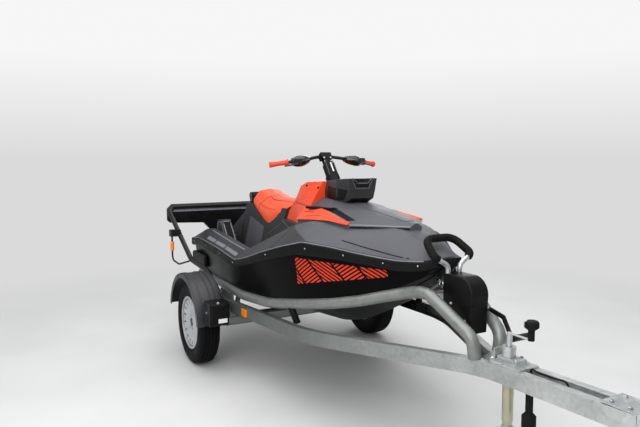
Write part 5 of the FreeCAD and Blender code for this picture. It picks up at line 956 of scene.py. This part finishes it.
def treadPattern():
    # one pitch of tread: five skewed blocks with their outer corners dropped
    grid = bmesh.new()
    pitch = 2 * math.pi * wheel["radius"] / tread["blocks"]
    edge = tread["ribs"][-1][1]
    for i, (y0, y1) in enumerate(tread["ribs"]):
        skew = tread["skew"] if i % 2 else -tread["skew"]
        half = (pitch - (tread["outerGap"] if edge in (-y0, y1) else tread["gap"])) / 2
        low, top = [], []
        for y, x in ((y0, -1), (y1, -1), (y1, 1), (y0, 1)):
            lean = skew if y == y1 else -skew
            high = tread["height"] - (tread["cornerDrop"] if abs(y) == edge else 0)
            low.append(grid.verts.new((y / 1000, (x * half + lean) / 1000, -0.002)))
            top.append(grid.verts.new((y / 1000, (x * (half - tread["draft"]) + lean) / 1000, high / 1000)))
        closeEnds(grid, [low, top])
    return newPattern("treadBlocks", grid)


treadBlocks = treadPattern()


def makeTyre(sign, side):
    half = [(sign * wheel["halfTrack"] + y, r) for y, r in tyreSection]
    section = half + [(sign * wheel["halfTrack"] - y, r) for y, r in tyreSection[-2::-1]]
    section += [(sign * wheel["halfTrack"] + y, r) for y, r in ((-50, 172), (-46, 262), (46, 262), (50, 172))]
    piece = newPiece("tyreCarcass_" + side, turned("tyre", section), "tyreRubber", "wheel_" + side)
    polished(piece, 0, 1, 40)
    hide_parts("tyre_" + side)
    middle = trailer(0, sign * wheel["halfTrack"], wheel["radius"])
    spots = []
    for a in angles(tread["blocks"]):
        out = Vector((math.sin(a), 0, math.cos(a)))
        spots.append((middle + out * wheel["treadBase"] / 1000, out, (0, 1, 0)))
    placed("tyreTread_" + side, spots, treadBlocks, "tyreRubber", "wheel_" + side)


def slotCutter(sign):
    # one block with round ends for each slot of the disc
    grid = bmesh.new()
    across, along, half = disc["slotEnd"], disc["slotReach"], 0.03
    outline = [(across * math.sin(b), disc["slotRadius"] + across * math.cos(b)
                + math.copysign(along, math.cos(b)))
               for b in angles(16)]
    middle = Matrix.Translation(trailer(0, sign * (wheel["halfTrack"] + 50), wheel["radius"]))
    for i in range(disc["slots"]):
        spin = middle @ Matrix.Rotation(2 * math.pi * (i + 0.5) / disc["slots"], 4, "Y")
        low, top = [[grid.verts.new(spin @ Vector((x / 1000, y, z / 1000))) for x, z in outline]
                    for y in (-half, half)]
        closeEnds(grid, [low, top])
    return meshFrom("slotCutter", grid)


def makeDisc(sign, side):
    section = discSection + [(y - disc["thickness"], r) for y, r in reversed(discSection)]
    section = [(sign * (wheel["halfTrack"] + y), r) for y, r in section]
    piece = newPiece("rimFace_" + side, turned("rimFace", section), "wheelLacquer", "wheel_" + side)
    carve(piece, [slotCutter(sign)])
    polished(piece, 0.7, 1, 40)
    onDisc = surfaceOf(piece)
    nuts = []
    for i in range(disc["nuts"]):
        a, r = math.radians(disc["firstNut"] + 360 * i / disc["nuts"]), disc["nutRadius"]
        start = trailer(r * math.cos(a), sign * 900, wheel["radius"] + r * math.sin(a))
        place, normal = onDisc.ray_cast(start, Vector((0, -sign, 0)))[:2]
        nuts.append((place, normal, (0, 0, 1)))
    placed("wheelNuts" + side.capitalize(), nuts, hexBolt, "brightZinc", "wheel_" + side, size=1.1)


for sign, tag in reversed(sides):
    makeTyre(sign, tag.lower())
print("tyres ready")

# Node, finish and edge radius in mm
plainNodes = {
    "foot_wedges": ("mouldedDeckDark", 6), "pedestal": ("mouldedDeckDark", 6),
    "seat_handle": ("mouldedBlack", 7),
    "knee_shroud": ("mouldedOrange", 8), "hood": ("mouldedDeckGrey", 4), "hood_wings": ("mouldedOrange", 3),
    "hood_fins": ("mouldedBlack", 4), "snout_cowl": ("satinBlack", 6), "steering_collar": ("mouldedBlack", 2),
    "pump_housing": ("castAluminium", 1), "ride_plate": ("castAluminium", 1.5),
    "intake_grate": ("castAluminium", 1.5),
    "sponsons": ("mouldedBlack", 3), "bow_eye": ("brushedStainless", 0),
    "steering_nozzle": ("castAluminium", 1),
    "reverse_bucket": ("mouldedBlack", 1.5), "impeller": ("brushedStainless", 0.8),
    "handlebar_riser": ("mouldedBlack", 3), "handlebar": ("powderCoatBlack", 0),
    "grips": ("gripRubberOrange", 0.8), "lever_pods": ("glossBlack", 0), "axle_beam": ("darkGalvanised", 3),
    "trailing_arms": ("hotDipGalvanised", 2),
    "fenders": ("satinBlack", 3), "main_beams": ("hotDipGalvanised", 2.5),
    "cradle_tubes": ("darkGalvanised", 0),
    "rubber_pads": ("mouldedRubber", 2), "light_board": ("mouldedBlack", 4),
    "light_hoop": ("powderCoatBlack", 0),
    "axle_brackets": ("hotDipGalvanised", 1.5), "tail_lamps": ("redAcrylic", 2),
    "marker_stalks": ("powderCoatBlack", 1.5), "side_lamps": ("amberAcrylic", 1.5),
    "winch_frame": ("brightZinc", 1), "winch_drum": ("brightZinc", 0.8),
    "winch_strap": ("wovenPolyester", 0), "winch_crank": ("powderCoatBlack", 1),
    "winch_cover": ("mouldedBlack", 2), "bow_stop": ("brightZinc", 0), "stop_sleeve": ("closedCellFoam", 2),
    "jockey_tube": ("passivatedZinc", 1.5),
    "jockey_crank": ("brightZinc", 1), "jockey_clamp": ("brightZinc", 1.5), "coupler_head": ("brightZinc", 3),
    "coupler_handle": ("mouldedBlack", 2), "light_cable": ("mouldedRubber", 1),
    "jockey_leg": ("passivatedZinc", 0),
    "jockey_fork": ("brightZinc", 1.5), "jockey_tyre": ("tyreRubber", 2),
    "jockey_rim": ("mouldedTrimGrey", 1.5),
}
for side in ("starboard", "port"):
    plainNodes.update({"rim_" + side: ("wheelLacquer", 0.8), "hub_" + side: ("powderCoatBlack", 1.5)})
skins = {node: dressed(node, finish, bevel) for node, (finish, bevel) in plainNodes.items()}
print("plain pieces ready:", len(plainNodes))

# Strips: node, width, height, step, finish, then the points that it runs through. A name with %s is made on
# both sides, from points on port. Sizes and points are in mm.
craftStrips = {
    "ventEdge%s": ("hood_wings", 6, 2.0, 12, "mouldedTrimGrey", (1640, 186, 752), (1850, 200, 748),
                   (2150, 248, 706)),
    # a grey strip along the hood's lower edge, a painted highlight
    "hoodLip%s": ("hood", 9, 2.2, 12, "mouldedTrimGrey", (2185, 250, 690), (2320, 142, 692), (2446, 36, 692)),
    "hoodGroove%s": ("hood", 10, 0.5, 12, "mouldedRubber", (2185, 251, 676), (2320, 143, 678),
                     (2446, 37, 680)),
    "wingEdge%s": ("hood_wings", 5, 1.5, 12, "mouldedOrange", (1620, 279, 680), (1900, 277, 700),
                   (2172, 262, 692)),
    # the creases carry painted shade in a darker orange
    "wingCrease%s0": ("hood_wings", 8, 0.6, 12, "orangeShade", (1634, 238, 722), (1754, 232, 728)),
    "wingCrease%s1": ("hood_wings", 8, 0.6, 12, "orangeShade", (1690, 262, 700), (1860, 246, 716)),
    "shroudCrease%s": ("knee_shroud", 9, 0.6, 12, "orangeShade", (1340, 160, 760), (1500, 170, 752),
                       (1592, 172, 748)),
    "shroudFold%s": ("knee_shroud", 8, 2.0, 12, "mouldedOrange", (1200, 120, 700), (1340, 158, 772),
                     (1430, 154, 790), (1590, 166, 778)),
    "pedestalSeam%s": ("pedestal", 7, 2.0, 12, "mouldedDeckGrey", (900, 240, 320), (960, 200, 500),
                       (1180, 170, 620), (1500, 200, 560)),
    "trayRim": ("snout_cowl", 8, 3.0, 8, "mouldedDeckGrey", (1935, -72, 931), (1935, 66, 931),
                (1935, 44, 872), (1935, -50, 872), (1935, -72, 931)),
    # a grey strip round the seat handle's edge, a painted highlight
    "handleEdge": ("seat_handle", 12, 2.0, 12, "mouldedTrimGrey", (486, -120, 712), (486, -116, 770),
                   (486, -90, 786), (486, 90, 786), (486, 116, 770), (486, 120, 712)),
    "wedgeRim%s": ("foot_wedges", 8, 2.5, 8, "mouldedTrimGrey", (452, 352, 548), (452, 294, 548),
                   (590, 294, 412), (590, 352, 412), (452, 352, 548)),
    "wedgeSide%s": ("foot_wedges", 7, 2.0, 10, "mouldedTrimGrey", (372, 364, 540), (450, 364, 556),
                    (580, 364, 400), (470, 364, 330), (372, 364, 450), (372, 364, 540)),
    # a bright stainless strip down the riser's front, a painted highlight
    "riserCore": ("handlebar_riser", 12, 3.0, 8, "brushedStainless", (1535, 10, 1030), (1570, 10, 985),
                  (1592, 10, 950)),
    "riserRail-30": ("handlebar_riser", 9, 5.0, 8, "glossBlack", (1520, -30, 1050), (1560, -30, 1000),
                     (1598, -30, 940)),
    "riserRail30": ("handlebar_riser", 9, 5.0, 8, "glossBlack", (1520, 30, 1050), (1560, 30, 1000),
                    (1598, 30, 940)),
}
# Plates: node, height, steps each way, edge radius, finish, then the four corners
craftPlates = {
    "hoodCentre": ("hood", 2.4, (14, 6), 1.6, "mouldedDeckGrey", (1965, -74, 776), (2395, -30, 716),
                   (2395, 30, 716), (1965, 74, 776)),
    "hoodVent%s": ("hood", 1.0, (10, 4), 1.0, "mouldedRubber", (1800, 184, 748), (2120, 226, 712),
                   (2165, 196, 714), (1860, 150, 760)),
    "shroudPanel%s": ("knee_shroud", 1.8, (6, 4), 1.2, "mouldedOrange", (1400, 150, 800), (1560, 152, 800),
                      (1560, 118, 868), (1440, 122, 868)),
    "cowlPanel%s": ("snout_cowl", 1.2, (6, 4), 0.8, "mouldedBlack", (1640, 78, 790), (1860, 92, 800),
                    (1912, 97, 862), (1650, 80, 880)),
    "pedestalPanel%s": ("pedestal", 2.0, (8, 6), 1.2, "mouldedDeckGrey", (520, 228, 330), (860, 236, 330),
                        (860, 170, 545), (560, 150, 600)),
    "trayMouth": ("snout_cowl", 0.8, (6, 3), 0.5, "mouldedRubber", (1935, -72, 931), (1935, 66, 931),
                  (1935, 44, 872), (1935, -50, 872)),
    "wedgeRecess%s": ("foot_wedges", 0.8, (8, 4), 0.5, "mouldedRubber", (452, 352, 548), (452, 294, 548),
                      (590, 294, 412), (590, 352, 412)),
}
# Fixings: node, pattern, finish, size, spread of turns, then the places
craftFixings = {
    "shroudPlugs%s": ("knee_shroud", plugCap, "mouldedRubber", 1.0, 0.0, (1443, 118, 872), (1585, 112, 866)),
    "riserBolts": ("handlebar_riser", panScrew, "brushedStainless", 1.6, 3.0, (1524, -24, 1066),
                   (1524, 24, 1066), (1538, -24, 1046), (1538, 24, 1046), (1600, -26, 930), (1600, 26, 930)),
}
fenderArc = [(-25 + 342 * math.cos(math.radians(a)), 285 + 342 * math.sin(math.radians(a)))
             for a in range(0, 149, 4)]
trailerStrips = {"fenderRidge%%s%d" % y: ("fenders", width, height, 12, "satinBlack",
                                          *((x, y, z) for x, z in fenderArc))
                 for y, width, height in ((788, 40, 4), (704, 11, 5), (668, 11, 5))}
trailerStrips["coverCrease"] = ("winch_cover", 7, 2.2, 12, "mouldedBlack", (1806, -54, 747), (1900, -54, 747),
                                (1986, -54, 747), (1994, -40, 747), (1994, 40, 747), (1986, 54, 747),
                                (1900, 54, 747), (1806, 54, 747))
trailerPlates = {
    "boardStrip": ("light_board", 1.2, (30, 2), 1.0, "mouldedTrimGrey", (-1043, -600, 970), (-1043, 600, 970),
                   (-1054, 600, 991), (-1054, -600, 991)),
    "fenderReflector%s": ("fenders", 2.5, (4, 2), 1.0, "clearAcrylic", (404, 706, 394), (404, 646, 394),
                          (404, 646, 366), (404, 706, 366)),
}
trailerFixings = {
    "fenderBolts%s": ("fenders", hexBolt, "brightZinc", 0.9, 3.0, (324, 765, 424), (390, 703, 495)),
    "coverBolts%s": ("winch_cover", hexBolt, "brightZinc", 0.85, 3.0, (1856, 54, 734), (1952, 54, 668)),
    "clampBolts": ("jockey_clamp", hexBolt, "brushedStainless", 1.0, 3.0, (2110, -40, 540), (2140, -36, 543),
                   (2190, -60, 548), (2236, -32, 562), (2216, 40, 562)),
    "couplerBolts": ("coupler_head", hexBolt, "brushedStainless", 1.2, 3.0, (2690, -40, 560), (2690, 40, 560),
                     (2760, -40, 560), (2760, 40, 560)),
}


def trimmed(origin, strips, plates, fixings):
    surfaces = {}

    def eachSide(name, node, points):
        if node not in surfaces:
            surfaces[node] = surfaceOf(skins[node])
        for side, tag in sides if "%s" in name else sides[:1]:
            yield name.replace("%s", tag), surfaces[node], [origin(x, side * y, z) for x, y, z in points]

    for name, (node, width, height, step, finish, *points) in strips.items():
        for title, surface, path in eachSide(name, node, points):
            ribbonOn(title, surface, path, width, height, finish, body=nodes[node]["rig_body"], step=step)
    for name, (node, height, steps, edge, finish, *points) in plates.items():
        for title, surface, corners in eachSide(name, node, points):
            panelOn(title, surface, corners, height, finish, steps=steps, bevel=edge)
    for name, (node, pattern, finish, size, turnSpread, *points) in fixings.items():
        for title, surface, places in eachSide(name, node, points):
            placed(title, [spotOn(surface, place) for place in places], pattern, finish,
                   nodes[node]["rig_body"],
                   size=size, turnSpread=turnSpread)


def secondFinishes():
    # the crank's knob, the jockey tube's collar, the boxes on the fenders, and painted shade in the wells of
    # the rims behind the discs
    crankEnd, fenderBox = trailer(2278, 0, 0).x, trailer(322, 0, 0).x
    recolour(skins["jockey_crank"], "mouldedRubber", lambda c: c.x > crankEnd and c.z > 0.655)
    recolour(skins["jockey_tube"], "brightZinc", lambda c: c.z > 0.53)
    recolour(skins["fenders"], "mouldedBlack", lambda c: c.x > fenderBox and c.z < 0.52)
    # the rims' wells behind the discs are painted dark as painted shade
    for side in ("starboard", "port"):
        recolour(skins["rim_" + side], "mouldedRubber", lambda c: abs(c.y) < 0.757
                 and math.hypot(c.x - axleX, c.z - 0.285) < 0.160)


# Bulky switch housings round the bar beside each pod: distance from the middle, height, half depth and
# half height
housingRows = [(256, 1028, 14, 14), (247, 1030, 30, 28), (228, 1033, 40, 35), (200, 1036, 42, 36),
               (168, 1040, 36, 31), (142, 1044, 26, 23), (126, 1047, 14, 14)]


def makeHousing(side, tag):
    # the bar sweeps back a little more beyond its bend
    bend, inner, outer = 205, 0.372, 0.374
    rings = []
    for y, lift, deep, high in housingRows:
        middle = craft(1532 - (bend - min(y, bend)) * inner - max(y - bend, 0) * outer, side * y, lift)
        rings.append([middle + Vector((deep * math.cos(a) / 1000, 0, high * math.sin(a) / 1000))
                      for a in angles(20)])
    housing = newPiece("switchHousing" + tag, ringSkin("switchHousing", rings), "glossBlack", "handlebar")
    polished(housing, 0, 1, 50)
    seam = [craft(1560, side * 240, 1034), craft(1566, side * 200, 1040), craft(1540, side * 146, 1046)]
    ribbonOn("housingSeam" + tag, surfaceOf(housing), seam, 4, 0.5, "mouldedTrimGrey", body="handlebar",
             step=8)


trimmed(craft, craftStrips, craftPlates, craftFixings)
trimmed(trailer, trailerStrips, trailerPlates, trailerFixings)
for side, tag in sides:
    makeHousing(side, tag)
    makeDisc(side, tag.lower())
secondFinishes()
removed(patterns)
print("trim ready")
